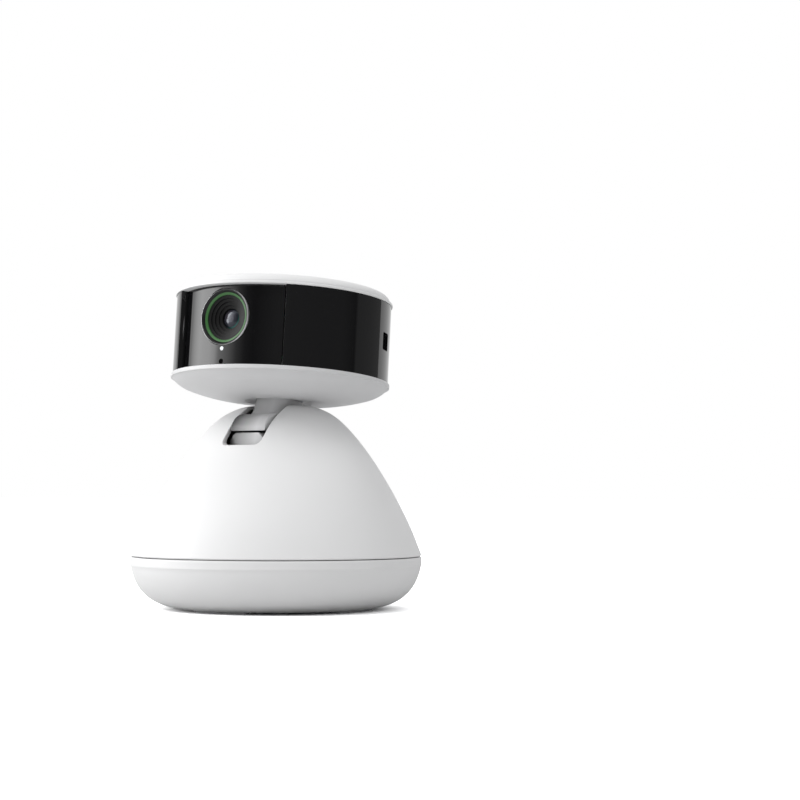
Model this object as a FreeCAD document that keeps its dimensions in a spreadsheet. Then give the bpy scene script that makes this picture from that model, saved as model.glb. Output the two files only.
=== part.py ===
import FreeCAD, Part
import Sketcher
import math
import os

# Pan and tilt pet camera, millimetres. +Z is up, the lens looks towards -Y,
# the origin is on the supporting surface under the middle of the base.

Vector = FreeCAD.Vector

SIZES = {
    # base
    "base_radius": 47.2, "ring_top": 17.0, "ring_band": 3.1, "shell_wall": 2.2,
    "shell_bottom": 0.9, "shell_bulge": 3.05, "shell_lip": 1.2, "ledge_width": 1.9,
    "plate_inset": 14.2, "plate_bottom": 0.7, "plate_flange": 1.1, "plate_top": 3.0,
    "plate_step": 1.7, "foot_inset": 0.6, "foot_width": 4.4, "foot_span": 36.0,
    "foot_top": 1.2, "slack": 0.1, "edge_round": 0.5,
    "deck_top": 15.2, "deck_thickness": 1.8, "deck_gap": 0.3,
    "hub_radius": 9.0, "hub_bore": 5.5, "hub_shoulder": 25.2, "hub_step": 1.0,
    "hub_top": 27.2, "post_inset": 6.0, "post_radius": 3.0,
    "weight_gap": 0.6, "weight_inner": 9.0, "weight_height": 5.0,
    "bearing_inset": 8.2, "bearing_width": 3.0, "bearing_gap": 0.12,
    # power inlet
    "inlet_height": 9.05, "inlet_depth": 5.7, "port_width": 9.0, "port_depth": 7.4,
    "port_tall": 3.3, "port_wall": 0.3, "recess_width": 12.6, "recess_tall": 6.3,
    "collar_wall": 1.2, "collar_depth": 2.0, "board_thickness": 1.2, "base_board_width": 20.0,
    "base_board_length": 13.4, "standoff_radius": 2.0, "standoff_gap": 1.3,
    # screws
    "screw_radius": 1.2, "head_radius": 2.3, "head_height": 1.2, "pilot_gap": 0.05,
    "head_gap": 0.2, "plate_screw_length": 8.0, "housing_screw_length": 7.0,
    "bowl_screw_length": 3.6, "cover_screw_length": 2.6,
    # gears
    "gear_module": 0.8, "pan_gear_teeth": 40, "pinion_teeth": 12,
    "tilt_gear_teeth": 32, "gear_width": 2.0, "shaft_radius": 1.0,
    "shaft_grip": 4.5, "sector_span": 68.0, "sector_start": 9.0,
    # turntable
    "seam_gap": 0.4, "turntable_rise": 0.5, "turntable_thickness": 2.0,
    "turntable_gap": 1.9, "sleeve_wall": 1.5, "running_gap": 0.05,
    "boss_inset": 9.2, "retainer_height": 1.2, "retainer_gap": 0.2,
    "pan_motor_radius": 10.0, "pan_motor_height": 15.0, "motor_flange": 1.0,
    "motor_ear": 6.5, "tilt_motor_radius": 7.5, "tilt_motor_length": 13.0,
    # housing
    "cone_top_half": 10.2, "cone_top_rise": 11.0,
    "slot_gap": 0.8, "slot_drop": 2.2, "slot_corner": 2.0, "slot_rear": 13.5,
    "slot_rear_rise": 4.5, "boss_radius": 3.2, "boss_top": 34.0, "boss_pilot": 9.0,
    "grille_height": 35.0, "grille_pitch": 2.6, "grille_hole": 0.7, "grille_tilt": 32.0,
    "speaker_radius": 8.5, "speaker_depth": 5.5, "speaker_back": 3.774,
    "gasket_thickness": 1.1, "gasket_width": 2.0,
    # tilt carrier
    "pivot_height": 55.0, "rest_tilt": 4.9, "ear_inner": 7.3, "ear_thickness": 2.2,
    "ear_half": 5.5, "bridge_gap": 0.7, "bridge_thickness": 1.9,
    "leg_gap": 2.6, "leg_thickness": 2.4, "bridge_half": 8.0, "motor_angle": 45.0,
    "axle_radius": 2.5, "bush_wall": 1.1, "gear_gap": 0.3, "clip_width": 1.7,
    "clip_thickness": 0.8, "clip_gap": 0.2,
    # neck
    "neck_gap": 0.6, "column_front": 9.6, "column_inset": 0.2, "column_top": 12.0,
    "spigot_radius": 5.0, "spigot_top": 16.4, "wire_bore": 3.4, "knuckle_top": 7.2,
    "knuckle_front": 17.3, "knuckle_rear": 10.8, "knuckle_shoulder": 10.4,
    "knuckle_skirt": 0.9, "nose_front": 17.8, "nose_level": 4.7, "nose_brow": 16.9,
    "brow_level": 0.35, "nose_round": 5.0, "plan_round": 1.2, "nose_bottom": 8.0,
    "nose_rear": 9.5, "nose_half": 6.0, "nut_radius": 10.0, "nut_height": 2.0, "parting": 0.6,
    # head
    "band_radius": 35.2, "band_bottom": 19.6, "band_height": 25.6, "band_wall": 1.8,
    "lip_overhang": 0.5, "lip_height": 1.1, "lip_width": 2.5, "bowl_bottom": 12.0,
    "bowl_wall": 2.0, "neck_recess": 0.9, "bowl_turn": 5.7, "bowl_rise": 3.0,
    "cover_rise": 4.8, "cover_wall": 1.9, "cover_lip": 0.8, "cover_step": 0.5,
    "crown_inset": 3.6, "crown_rise": 1.2, "boss_small": 2.0,
    "window_recess": 2.2, "window_wall": 1.6, "window_angle": 70.8, "jamb_angle": 2.2,
    "frame_wall": 1.5, "frame_floor": 1.2, "frame_slack": 0.1,
    "lens_height": 35.1, "bezel_radius": 9.1, "bezel_wall": 0.8, "bezel_sunk": 0.35,
    "ring_wall": 0.9, "barrel_radius": 7.2, "barrel_length": 9.0, "cone_depth": 2.6,
    "glass_radius": 3.2, "holder_size": 15.0, "holder_depth": 6.0, "sensor_size": 22.0,
    "light_height": 25.0, "light_radius": 0.65, "mic_height": 20.9, "mic_radius": 0.85,
    "mic_can": 1.3, "led_angle": 26.0, "led_radius": 2.4, "led_length": 3.0,
    "board_gap": 0.3, "main_board_height": 22.6, "board_front": 22.0, "shield_size": 15.0,
    "shield_height": 1.8, "spreader_inset": 5.6, "spreader_thickness": 1.4,
    "antenna_span": 46.0, "antenna_width": 7.0, "antenna_thickness": 0.3,
    # side button
    "button_angle": 15.5, "button_height": 32.4, "button_width": 5.0, "button_tall": 5.2,
    "button_recess": 1.2, "button_gap": 0.25, "button_travel": 0.5, "flange_width": 7.0,
    "flange_thickness": 0.6, "button_clear": 0.45, "switch_width": 4.4, "switch_depth": 1.2,
    "switch_board": 9.0,
}

# Housing outline: share of the height, share of the half width, extra flattening.
SECTIONS = [
    (0.0, 1.0, 0.0), (0.1564, 0.9189, 0.3), (0.3416, 0.7973, 2.2), (0.5267, 0.6514, 5.6),
    (0.6914, 0.5, 8.3), (0.8148, 0.3676, 8.6), (0.9012, 0.2514, 8.6), (0.963, 0.1297, 8.2),
    (1.0, 0.0, 5.5),
]

doc = FreeCAD.newDocument("PetCamera")
sheet = doc.addObject("Spreadsheet::Sheet", "Sheet")
NODES = []


class Size:
    """A length or count that carries its value and its spreadsheet formula."""

    def __init__(self, value, text):
        self.value, self.text = float(value), text

    def join(self, other, sign, value):
        return Size(value, "(%s %s %s)" % (self.text, sign, other.text))

    def __add__(self, other):
        other = size(other)
        return self.join(other, "+", self.value + other.value)

    def __sub__(self, other):
        other = size(other)
        return self.join(other, "-", self.value - other.value)

    def __mul__(self, other):
        other = size(other)
        return self.join(other, "*", self.value * other.value)

    def __truediv__(self, other):
        other = size(other)
        return self.join(other, "/", self.value / other.value)

    def __neg__(self):
        return Size(-self.value, "(0 - %s)" % self.text)

    def __radd__(self, other):
        return size(other) + self

    def __rsub__(self, other):
        return size(other) - self

    def __rmul__(self, other):
        return size(other) * self


def size(value):
    return value if isinstance(value, Size) else Size(value, repr(float(value)))


def sine(angle):
    return Size(math.sin(math.radians(angle.value)), "sin(%s * 1 deg)" % angle.text)


def cosine(angle):
    return Size(math.cos(math.radians(angle.value)), "cos(%s * 1 deg)" % angle.text)


def root(number):
    return Size(math.sqrt(number.value), "sqrt(%s)" % number.text)


def larger(one, other):
    return Size(max(one.value, other.value), "max(%s; %s)" % (one.text, other.text))


def dome_sag(reach, rise):
    """The sag of an arc that starts square to the axis and falls by rise at reach."""
    radius = (reach * reach + rise * rise) / (2 * rise)
    return radius - root(radius * radius - (reach * reach + rise * rise) / 4)


class Named:
    pass


def fill_sheet():
    named = Named()
    rows = dict(SIZES)
    for index, (up, out, flat) in enumerate(SECTIONS):
        rows["section_up_%d" % index] = up
        rows["section_out_%d" % index] = out
        rows["section_flat_%d" % index] = flat
    for row, (name, value) in enumerate(rows.items(), start=1):
        sheet.set("A%d" % row, name)
        sheet.set("B%d" % row, str(value))
        sheet.setAlias("B%d" % row, name)
    doc.recompute()
    for name in rows:
        setattr(named, name, Size(sheet.get(name), "Sheet." + name))
    return named


D = fill_sheet()


def bind(thing, **properties):
    """Set each property, then tie it to its formula."""
    for key, value in properties.items():
        value = size(value)
        path = key.replace("__", ".")
        if "." not in path:
            setattr(thing, path, value.value)
        thing.setExpression(path, value.text)


def place(thing, x=0, y=0, z=0, axis=None, angle=0):
    if axis:
        thing.Placement = FreeCAD.Placement(Vector(0, 0, 0), FreeCAD.Rotation(Vector(*axis), 1))
        bind(thing, Placement__Rotation__Angle=angle)
    bind(thing, Placement__Base__x=x, Placement__Base__y=y, Placement__Base__z=z)
    return thing


def box(name, low, high):
    """A box between two corners, each a triple of sizes."""
    thing = doc.addObject("Part::Box", name)
    low, high = [size(v) for v in low], [size(v) for v in high]
    bind(thing, Length=high[0] - low[0], Width=high[1] - low[1], Height=high[2] - low[2])
    return place(thing, *low)


AXES = {"z": (None, 0), "x": ((0, 1, 0), 90), "y": ((1, 0, 0), -90), "-y": ((1, 0, 0), 90)}


def rod(name, radius, height, at=(0, 0, 0), along="z", span=None, start=0):
    """A cylinder, or a pie of it, that starts at a point and runs along an axis."""
    thing = doc.addObject("Part::Cylinder", name)
    bind(thing, Radius=radius, Height=height)
    if span is not None:
        bind(thing, Angle=span)
        return place(thing, *at, axis=(0, 0, 1), angle=start)
    axis, angle = AXES[along]
    return place(thing, *at, axis=axis, angle=angle)


def cut(name, base, *tools):
    thing = doc.addObject("Part::Cut", name)
    thing.Base = base
    thing.Tool = tools[0] if len(tools) == 1 else fuse(name + "_tools", *tools)
    return thing


def fuse(name, *shapes):
    thing = doc.addObject("Part::MultiFuse", name)
    thing.Shapes = list(shapes)
    return thing


def common(name, *shapes):
    thing = doc.addObject("Part::MultiCommon", name)
    thing.Shapes = list(shapes)
    return thing


def group(name, *shapes):
    thing = doc.addObject("Part::Compound", name)
    thing.Links = list(shapes)
    return thing


def tube(name, outer, inner, height, at=(0, 0, 0), along="z"):
    x, y, z = [size(v) for v in at]
    extra = size(0.5)
    shift = {"z": (0, 0, 1), "x": (1, 0, 0), "y": (0, 1, 0), "-y": (0, -1, 0)}[along]
    start = [v - extra * s for v, s in zip((x, y, z), shift)]
    body = rod(name + "_outside", outer, height, (x, y, z), along)
    hole = rod(name + "_inside", inner, size(height) + 2 * extra, start, along)
    return cut(name, body, hole)


def arc_block(name, outer, inner, low, height, span, start):
    """Part of a ring between two radii, from an angle over a span."""
    body = rod(name + "_outside", outer, height, (0, 0, low), span=span, start=start)
    hole = rod(name + "_inside", inner, size(height) + 1, (0, 0, size(low) - 0.5))
    return cut(name, body, hole)


def sketch_on(body, role, offset=None):
    plane = [f for f in body.Origin.OriginFeatures if f.Role == role][0]
    sketch = body.newObject("Sketcher::SketchObject", body.Name + "_sketch")
    sketch.AttachmentSupport = [(plane, "")]
    sketch.MapMode = "FlatFace"
    if offset is not None:
        sketch.setExpression("AttachmentOffset.Base.z", offset.text)
    return sketch


def arc_edge(start, end, sag):
    """The arc over a chord whose middle is moved to the left by sag."""
    chord = end - start
    half, rise = chord.Length / 2, abs(sag)
    radius = (half * half + rise * rise) / (2 * rise)
    left = Vector(-chord.y, chord.x, 0).normalize() * (1 if sag > 0 else -1)
    centre = (start + end) * 0.5 + left * (rise - radius)
    first, last = (end, start) if sag > 0 else (start, end)
    angles = [math.atan2(p.y - centre.y, p.x - centre.x) for p in (first, last)]
    circle = Part.Circle(centre, Vector(0, 0, 1), radius)
    return Part.ArcOfCircle(circle, angles[0], angles[1] + (2 * math.pi if angles[1] < angles[0] else 0))


def draw(sketch, corners):
    """A closed outline. A corner is (x, y), or (x, y, sag) where an arc leaves it."""
    corners = [tuple(size(v) for v in corner) for corner in corners]
    points = [Vector(c[0].value, c[1].value, 0) for c in corners]
    count = len(corners)
    ends = []
    for index, corner in enumerate(corners):
        start, end = points[index], points[(index + 1) % count]
        if len(corner) == 3:
            sketch.addGeometry(arc_edge(start, end, corner[2].value), False)
            ends.append((2, 1) if corner[2].value > 0 else (1, 2))
        else:
            sketch.addGeometry(Part.LineSegment(start, end), False)
            ends.append((1, 2))
    for index in range(count):
        following = (index + 1) % count
        sketch.addConstraint(Sketcher.Constraint(
            "Coincident", index, ends[index][1], following, ends[following][0]))
    for index, corner in enumerate(corners):
        for kind, value in (("DistanceX", corner[0]), ("DistanceY", corner[1])):
            number = sketch.addConstraint(Sketcher.Constraint(
                kind, -1, 1, index, ends[index][0], value.value))
            sketch.setExpression("Constraints[%d]" % number, value.text)
        if len(corner) == 3:
            following = corners[(index + 1) % count]
            across, up = following[0] - corner[0], following[1] - corner[1]
            rise = corner[2] if corner[2].value > 0 else -corner[2]
            radius = ((across * across + up * up) / 4 + rise * rise) / (2 * rise)
            number = sketch.addConstraint(Sketcher.Constraint("Radius", index, radius.value))
            sketch.setExpression("Constraints[%d]" % number, radius.text)


def turned(name, corners):
    """A body of revolution about Z from an outline of (radius, height)."""
    body = doc.addObject("PartDesign::Body", name)
    sketch = sketch_on(body, "XZ_Plane")
    draw(sketch, corners)
    revolution = body.newObject("PartDesign::Revolution", name + "_revolution")
    revolution.Profile = sketch
    revolution.ReferenceAxis = (sketch, ["V_Axis"])
    revolution.Angle = 360.0
    return body


def pad_across(name, corners, half):
    """A pad both ways along X from an outline of (y, z)."""
    body = doc.addObject("PartDesign::Body", name)
    sketch = sketch_on(body, "YZ_Plane")
    draw(sketch, corners)
    pad = body.newObject("PartDesign::Pad", name + "_pad")
    pad.Profile = sketch
    pad.Midplane = True
    bind(pad, Length=2 * half)
    return body


def pad_up(name, corners, low, height):
    """A pad upwards from an outline of (x, y)."""
    body = doc.addObject("PartDesign::Body", name)
    sketch = sketch_on(body, "XY_Plane", size(low))
    draw(sketch, corners)
    pad = body.newObject("PartDesign::Pad", name + "_pad")
    pad.Profile = sketch
    bind(pad, Length=height)
    return body


def node(label, thing, on_head=False):
    """Name a finished piece. Pieces of the head are drawn level about the pivot."""
    if on_head:
        thing = group("head_" + label, thing)
        place(thing, 0, 0, D.pivot_height, axis=(1, 0, 0), angle=-D.rest_tilt)
    thing.Label = label
    NODES.append(thing)
    return thing


def screw(name, x, y, seat, length, up):
    """A pan head screw with a cross recess. up is 1 where its tip points upwards."""
    seat, length = size(seat), size(length)
    if up > 0:
        head_low, shank_low, recess_low = seat - D.head_height, seat, seat - D.head_height - 0.1
    else:
        head_low, shank_low, recess_low = seat, seat - length, seat + D.head_height - 0.6
    head = rod(name + "_head", D.head_radius, D.head_height, (x, y, head_low))
    shank = rod(name + "_shank", D.screw_radius, length, (x, y, shank_low))
    arm, half = D.head_radius * 0.6, D.screw_radius * 0.25
    bars = [box("%s_bar%d" % (name, i), (size(x) - a, size(y) - b, recess_low),
                (size(x) + a, size(y) + b, recess_low + 0.7))
            for i, (a, b) in enumerate(((arm, half), (half, arm)))]
    return cut(name, fuse(name + "_body", head, shank), *bars)


def around(radius, degrees):
    """X and Y of a point on a circle, by its angle from +X."""
    angle = size(degrees)
    return radius * cosine(angle), radius * sine(angle)


def gear_wire(teeth, module):
    """The outline of a spur gear: straight flanks that narrow outwards."""
    pitch = teeth * module / 2
    outer, inner = pitch + module, pitch - 1.25 * module
    step = 2 * math.pi / teeth
    points = []
    for tooth in range(teeth):
        middle = tooth * step
        for radius, share in ((inner, -0.36), (pitch, -0.235), (outer, -0.1), (outer, 0.1),
                              (pitch, 0.235), (inner, 0.36)):
            angle = middle + share * step
            points.append(Vector(radius * math.cos(angle), radius * math.sin(angle), 0))
    return Part.makePolygon(points + points[:1])


def gear(name, teeth, phase):
    """A toothed disc on Z with one tooth at the phase angle, from the sheet's module and teeth."""
    thing = doc.addObject("Part::Feature", name)
    outline = gear_wire(int(teeth.value), D.gear_module.value)
    solid = Part.Face(outline).extrude(Vector(0, 0, D.gear_width.value))
    solid.rotate(Vector(0, 0, 0), Vector(0, 0, 1), phase)
    thing.Shape = solid
    return thing


# --- base -------------------------------------------------------------------

plate_radius = D.base_radius - D.plate_inset
foot_outer = plate_radius - D.foot_inset
post_ring = plate_radius - D.post_inset
bearing_outer = D.base_radius - D.bearing_inset
port_face = D.base_radius - D.inlet_depth
hub_nose = D.hub_radius - D.hub_step
sleeve_outer = D.hub_radius + D.sleeve_wall
turntable_bottom = D.ring_top + D.seam_gap + D.turntable_rise
boss_ring = D.base_radius - D.boss_inset
shell_inner = D.base_radius - D.shell_wall
ledge_radius = shell_inner - D.ledge_width
deck_bottom = D.deck_top - D.deck_thickness
band_bottom_z = D.ring_top - D.ring_band


def base_shell():
    bulge_gap = D.shell_bulge - 1.75
    shell = turned("base_shell_ring", [
        (plate_radius + D.shell_lip, D.shell_bottom, -D.shell_bulge),
        (D.base_radius - 0.2, band_bottom_z),
        (D.base_radius, band_bottom_z + 0.4),
        (D.base_radius, D.ring_top - D.edge_round, size(0.12) * -1),
        (D.base_radius - D.edge_round, D.ring_top),
        (shell_inner, D.ring_top),
        (shell_inner, deck_bottom),
        (ledge_radius, deck_bottom),
        (ledge_radius, D.inlet_height, bulge_gap),
        (plate_radius + 0.3, D.plate_top),
        (plate_radius - D.plate_step, D.plate_top),
        (plate_radius - D.plate_step, D.plate_top - D.plate_flange),
        (plate_radius + D.slack, D.plate_top - D.plate_flange),
        (plate_radius + D.slack, D.shell_bottom),
    ])
    half, tall = D.recess_width / 2, D.recess_tall / 2
    low, high = D.inlet_height - tall, D.inlet_height + tall
    face = port_face + D.slack
    inside = turned("inlet_limit", [
        (plate_radius, low - D.collar_wall), (D.base_radius - 5.2, low - D.collar_wall),
        (D.base_radius - 1.2, D.ring_top - 5.0), (D.base_radius - 0.8, D.ring_top - 2.5),
        (plate_radius, D.ring_top - 2.5)])
    block = box("inlet_block", (-(half + D.collar_wall), face - D.collar_depth, low - D.collar_wall),
                (half + D.collar_wall, D.base_radius, deck_bottom))
    collar = common("inlet_collar", block, inside)
    recess = box("inlet_recess", (-half, face, low), (half, D.base_radius + 1, high))
    port = box("inlet_hole", (-(D.port_width / 2 + D.slack), face - D.collar_depth - 1,
                              D.inlet_height - D.port_tall / 2 - D.slack),
               (D.port_width / 2 + D.slack, face + 1, D.inlet_height + D.port_tall / 2 + D.slack))
    return cut("base_shell", fuse("base_shell_whole", shell, collar), recess, port)


def base_plate():
    plate = turned("plate_disc", [
        (0, D.plate_bottom), (plate_radius, D.plate_bottom),
        (plate_radius, D.plate_top - D.plate_flange),
        (plate_radius - D.plate_step - D.slack, D.plate_top - D.plate_flange),
        (plate_radius - D.plate_step - D.slack, D.plate_top), (0, D.plate_top)])
    board_low = D.inlet_height - D.port_tall / 2 - D.board_thickness
    standoffs = [rod("standoff%d" % i, D.standoff_radius, board_low - D.plate_bottom,
                     (side * (D.base_board_width / 2 - D.standoff_radius),
                      plate_radius - D.plate_step - D.standoff_radius - D.standoff_gap,
                      D.plate_bottom))
                 for i, side in enumerate((-1, 1))]
    tools = [arc_block("foot_seat%d" % i, foot_outer + D.slack, foot_outer - D.foot_width - D.slack,
                       D.plate_bottom - 1, D.foot_top - D.plate_bottom + 1, D.foot_span + 0.6,
                       i * 90 - D.foot_span / 2 - 0.3) for i in range(4)]
    for i in range(4):
        x, y = around(post_ring, 45 + 90 * i)
        tools.append(rod("plate_sink%d" % i, D.head_radius + D.head_gap, D.head_height + D.head_gap + 0.1,
                         (x, y, D.plate_bottom - 0.1)))
        tools.append(rod("plate_hole%d" % i, D.screw_radius + D.head_gap, D.plate_top,
                         (x, y, D.plate_bottom)))
    return cut("base_plate", fuse("plate_whole", plate, *standoffs), *tools)


def base_deck():
    disc = turned("deck_disc", [
        (D.hub_bore, deck_bottom), (shell_inner - D.deck_gap, deck_bottom),
        (shell_inner - D.deck_gap, D.deck_top),
        (D.hub_radius, D.deck_top), (D.hub_radius, D.hub_shoulder), (hub_nose, D.hub_shoulder),
        (hub_nose, D.hub_top), (D.hub_bore, D.hub_top)])
    posts, holes = [], []
    for i in range(4):
        x, y = around(post_ring, 45 + 90 * i)
        posts.append(rod("post%d" % i, D.post_radius, D.deck_top - D.plate_top, (x, y, D.plate_top)))
        holes.append(rod("post_pilot%d" % i, D.screw_radius + D.pilot_gap, D.plate_screw_length,
                         (x, y, D.plate_top - 0.5)))
    return cut("base_deck", fuse("deck_whole", disc, *posts), *holes)


def build_base():
    node("base_shell", base_shell())
    node("base_plate", base_plate())
    for i, side in enumerate(("right", "rear", "left", "front")):
        foot = arc_block("foot_block%d" % i, foot_outer, foot_outer - D.foot_width, 0, D.foot_top,
                         D.foot_span, i * 90 - D.foot_span / 2)
        node("foot_" + side, foot)
    screws = []
    for i in range(4):
        x, y = around(post_ring, 45 + 90 * i)
        screws.append(screw("plate_screw%d" % i, x, y, D.plate_bottom + D.head_gap + D.head_height,
                            D.plate_screw_length, 1))
    node("plate_screws", group("plate_screw_set", *screws))
    node("base_weight", tube("weight_ring", post_ring - D.post_radius - D.weight_gap, D.weight_inner,
                             D.weight_height, (0, 0, D.plate_top)))
    node("base_deck", base_deck())
    top = turntable_bottom - D.bearing_gap
    node("bearing_ring", tube("bearing", bearing_outer, bearing_outer - D.bearing_width, top - D.deck_top,
                              (0, 0, D.deck_top)))
    teeth = place(gear("pan_gear_teeth", D.pan_gear_teeth, 90.0), 0, 0, D.deck_top)
    bore = rod("pan_gear_bore", D.hub_radius, D.gear_width + 2, (0, 0, D.deck_top - 1))
    node("pan_gear", cut("pan_gear", teeth, bore))
    node("retaining_ring", tube("retainer", sleeve_outer, hub_nose, D.retainer_height,
                                (0, 0, D.hub_shoulder)))
    port_low = D.inlet_height - D.port_tall / 2
    board_end = port_face - D.collar_depth - D.slack
    node("base_board", box("base_board_panel",
                           (-D.base_board_width / 2, board_end - D.base_board_length,
                            port_low - D.board_thickness),
                           (D.base_board_width / 2, board_end, port_low)))
    can = box("port_can", (-D.port_width / 2, port_face - D.port_depth, port_low),
              (D.port_width / 2, port_face, port_low + D.port_tall))
    hollow = box("port_hollow",
                 (-D.port_width / 2 + D.port_wall, port_face - D.port_depth + 1.2, port_low + D.port_wall),
                 (D.port_width / 2 - D.port_wall, port_face + 1, port_low + D.port_tall - D.port_wall))
    tongue = box("port_tongue", (-D.port_width / 2 + 1.2, port_face - D.port_depth + 1, D.inlet_height - 0.35),
                 (D.port_width / 2 - 1.2, port_face - 1, D.inlet_height + 0.35))
    node("usb_c_port", fuse("port_whole", cut("port_shell", can, hollow), tongue))


# --- turntable and housing --------------------------------------------------

turntable_top = turntable_bottom + D.turntable_thickness
pan_distance = D.gear_module * (D.pan_gear_teeth + D.pinion_teeth) / 2
tilt_distance = D.gear_module * (D.tilt_gear_teeth + D.pinion_teeth) / 2
neck_half = D.ear_inner - D.neck_gap
ear_outer = D.ear_inner + D.ear_thickness
leg_inner = sleeve_outer + D.leg_gap
leg_outer = leg_inner + D.leg_thickness
bridge_bottom = D.hub_top + D.bridge_gap
bush_radius = D.axle_radius + D.bush_wall
clip_radius = D.axle_radius + D.clip_width
gear_face = -(ear_outer + D.gear_gap)
motor_y = tilt_distance * sine(D.motor_angle)
motor_z = D.pivot_height - tilt_distance * cosine(D.motor_angle)


def section_axes(index):
    """Half width in X and in Y of one outline section."""
    out, flat = getattr(D, "section_out_%d" % index), getattr(D, "section_flat_%d" % index)
    half = D.cone_top_half + (D.base_radius - D.cone_top_half) * out
    return half + 0.325 * flat, half - 0.675 * flat


def section_height(index):
    foot, top = D.ring_top + D.seam_gap, D.pivot_height + D.cone_top_rise
    return foot + (top - foot) * getattr(D, "section_up_%d" % index)


def loft(name, inset, drop):
    rings = []
    for index in range(len(SECTIONS)):
        across, along = section_axes(index)
        ring = doc.addObject("Part::Ellipse", "%s_ring%d" % (name, index))
        bind(ring, MajorRadius=across - inset, MinorRadius=along - inset)
        place(ring, 0, 0, section_height(index) - drop)
        rings.append(ring)
    thing = doc.addObject("Part::Loft", name)
    thing.Sections = rings
    thing.Solid = True
    thing.Ruled = False
    return thing


def slot_tools():
    corner, half = D.slot_corner, neck_half + D.slot_gap
    floor, top = D.pivot_height - D.slot_drop, D.pivot_height + D.cone_top_rise + 1
    front = pad_up_front("slot_front", [
        (-half, floor + corner, corner * -0.2929), (-half + corner, floor),
        (half - corner, floor, corner * -0.2929), (half, floor + corner),
        (half, top), (-half, top)], D.base_radius)
    rear = box("slot_back", (-half, -1, D.pivot_height + D.slot_rear_rise), (half, D.slot_rear, top))
    return front, rear


def pad_up_front(name, corners, length):
    """A pad towards -Y from an outline of (x, z)."""
    body = doc.addObject("PartDesign::Body", name)
    sketch = sketch_on(body, "XZ_Plane")
    draw(sketch, corners)
    pad = body.newObject("PartDesign::Pad", name + "_pad")
    pad.Profile = sketch
    bind(pad, Length=length)
    return body


def rear_reach(height):
    """How far the rear wall stands out at a height, taken straight from one section to the next."""
    for index in range(len(SECTIONS) - 1):
        low, high = section_height(index), section_height(index + 1)
        if low.value <= height.value < high.value:
            near, far = section_axes(index)[1], section_axes(index + 1)[1]
            return near + (far - near) * (height - low) / (high - low)


def slope_past(slope, other):
    """The tangent of the angle by which one slope is steeper than another."""
    return (slope - other) / (1 + slope * other)


grille_y = rear_reach(D.grille_height)
grille_slope = sine(D.grille_tilt) / cosine(D.grille_tilt)
rim_rise = D.speaker_radius * cosine(D.grille_tilt)
slope_above = (grille_y - rear_reach(D.grille_height + rim_rise)) / rim_rise
slope_below = (rear_reach(D.grille_height - rim_rise) - grille_y) / rim_rise
speaker_face = D.speaker_back + D.speaker_radius * larger(
    slope_past(slope_above, grille_slope), slope_past(grille_slope, slope_below))


def on_grille(thing, depth, across=0, up=0):
    """Stand a piece drawn along Z on the grille's axis, some way inside the wall."""
    depth, across, up = size(depth), size(across), size(up)
    sin_t, cos_t = sine(D.grille_tilt), cosine(D.grille_tilt)
    return place(thing, across, grille_y - depth * cos_t - up * sin_t,
                 D.grille_height - depth * sin_t + up * cos_t,
                 axis=(1, 0, 0), angle=-(90 - D.grille_tilt))


def grille_holes():
    holes = []
    for ring, count in enumerate((1, 6, 12)):
        for i in range(count):
            x, y = around(D.grille_pitch * ring, 360.0 * i / count + 15 * ring)
            hole = doc.addObject("Part::Cylinder", "grille_hole_%d_%d" % (ring, i))
            bind(hole, Radius=D.grille_hole, Height=6)
            holes.append(on_grille(hole, 4, x, y))
    return holes


def housing():
    shell = cut("housing_shell", loft("housing_outside", 0, 0),
                loft("housing_inside", D.shell_wall * 0.85, D.shell_wall * 0.75))
    bosses, pilots = [], []
    for i in range(4):
        x, y = around(boss_ring, 45 + 90 * i)
        bosses.append(rod("boss%d" % i, D.boss_radius, D.boss_top - turntable_top, (x, y, turntable_top)))
        pilots.append(rod("boss_pilot%d" % i, D.screw_radius + D.pilot_gap, D.boss_pilot,
                          (x, y, turntable_top - 0.5)))
    inner = common("boss_trim", fuse("boss_set", *bosses), loft("boss_limit", 0.6, 0.4))
    return cut("housing", fuse("housing_whole", shell, inner), *slot_tools(), *pilots, *grille_holes())


def turntable():
    disc = turned("turntable_disc", [
        (D.hub_radius + D.running_gap, turntable_bottom),
        (D.base_radius - D.shell_wall * 0.85 - D.turntable_gap, turntable_bottom),
        (D.base_radius - D.shell_wall * 0.85 - D.turntable_gap, turntable_top),
        (sleeve_outer, turntable_top), (sleeve_outer, D.hub_shoulder - D.retainer_gap),
        (D.hub_radius + D.running_gap, D.hub_shoulder - D.retainer_gap)])
    holes = [rod("shaft_way", D.shaft_radius + 1.2, D.turntable_thickness + 2,
                 (0, -pan_distance, turntable_bottom - 1))]
    for i in range(4):
        x, y = around(boss_ring, 45 + 90 * i)
        holes.append(rod("turntable_sink%d" % i, D.head_radius + D.head_gap, D.head_height + D.head_gap,
                         (x, y, turntable_bottom - 0.2)))
        holes.append(rod("turntable_hole%d" % i, D.screw_radius + D.head_gap, D.turntable_thickness + 1,
                         (x, y, turntable_bottom)))
    return cut("turntable", disc, *holes)


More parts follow.
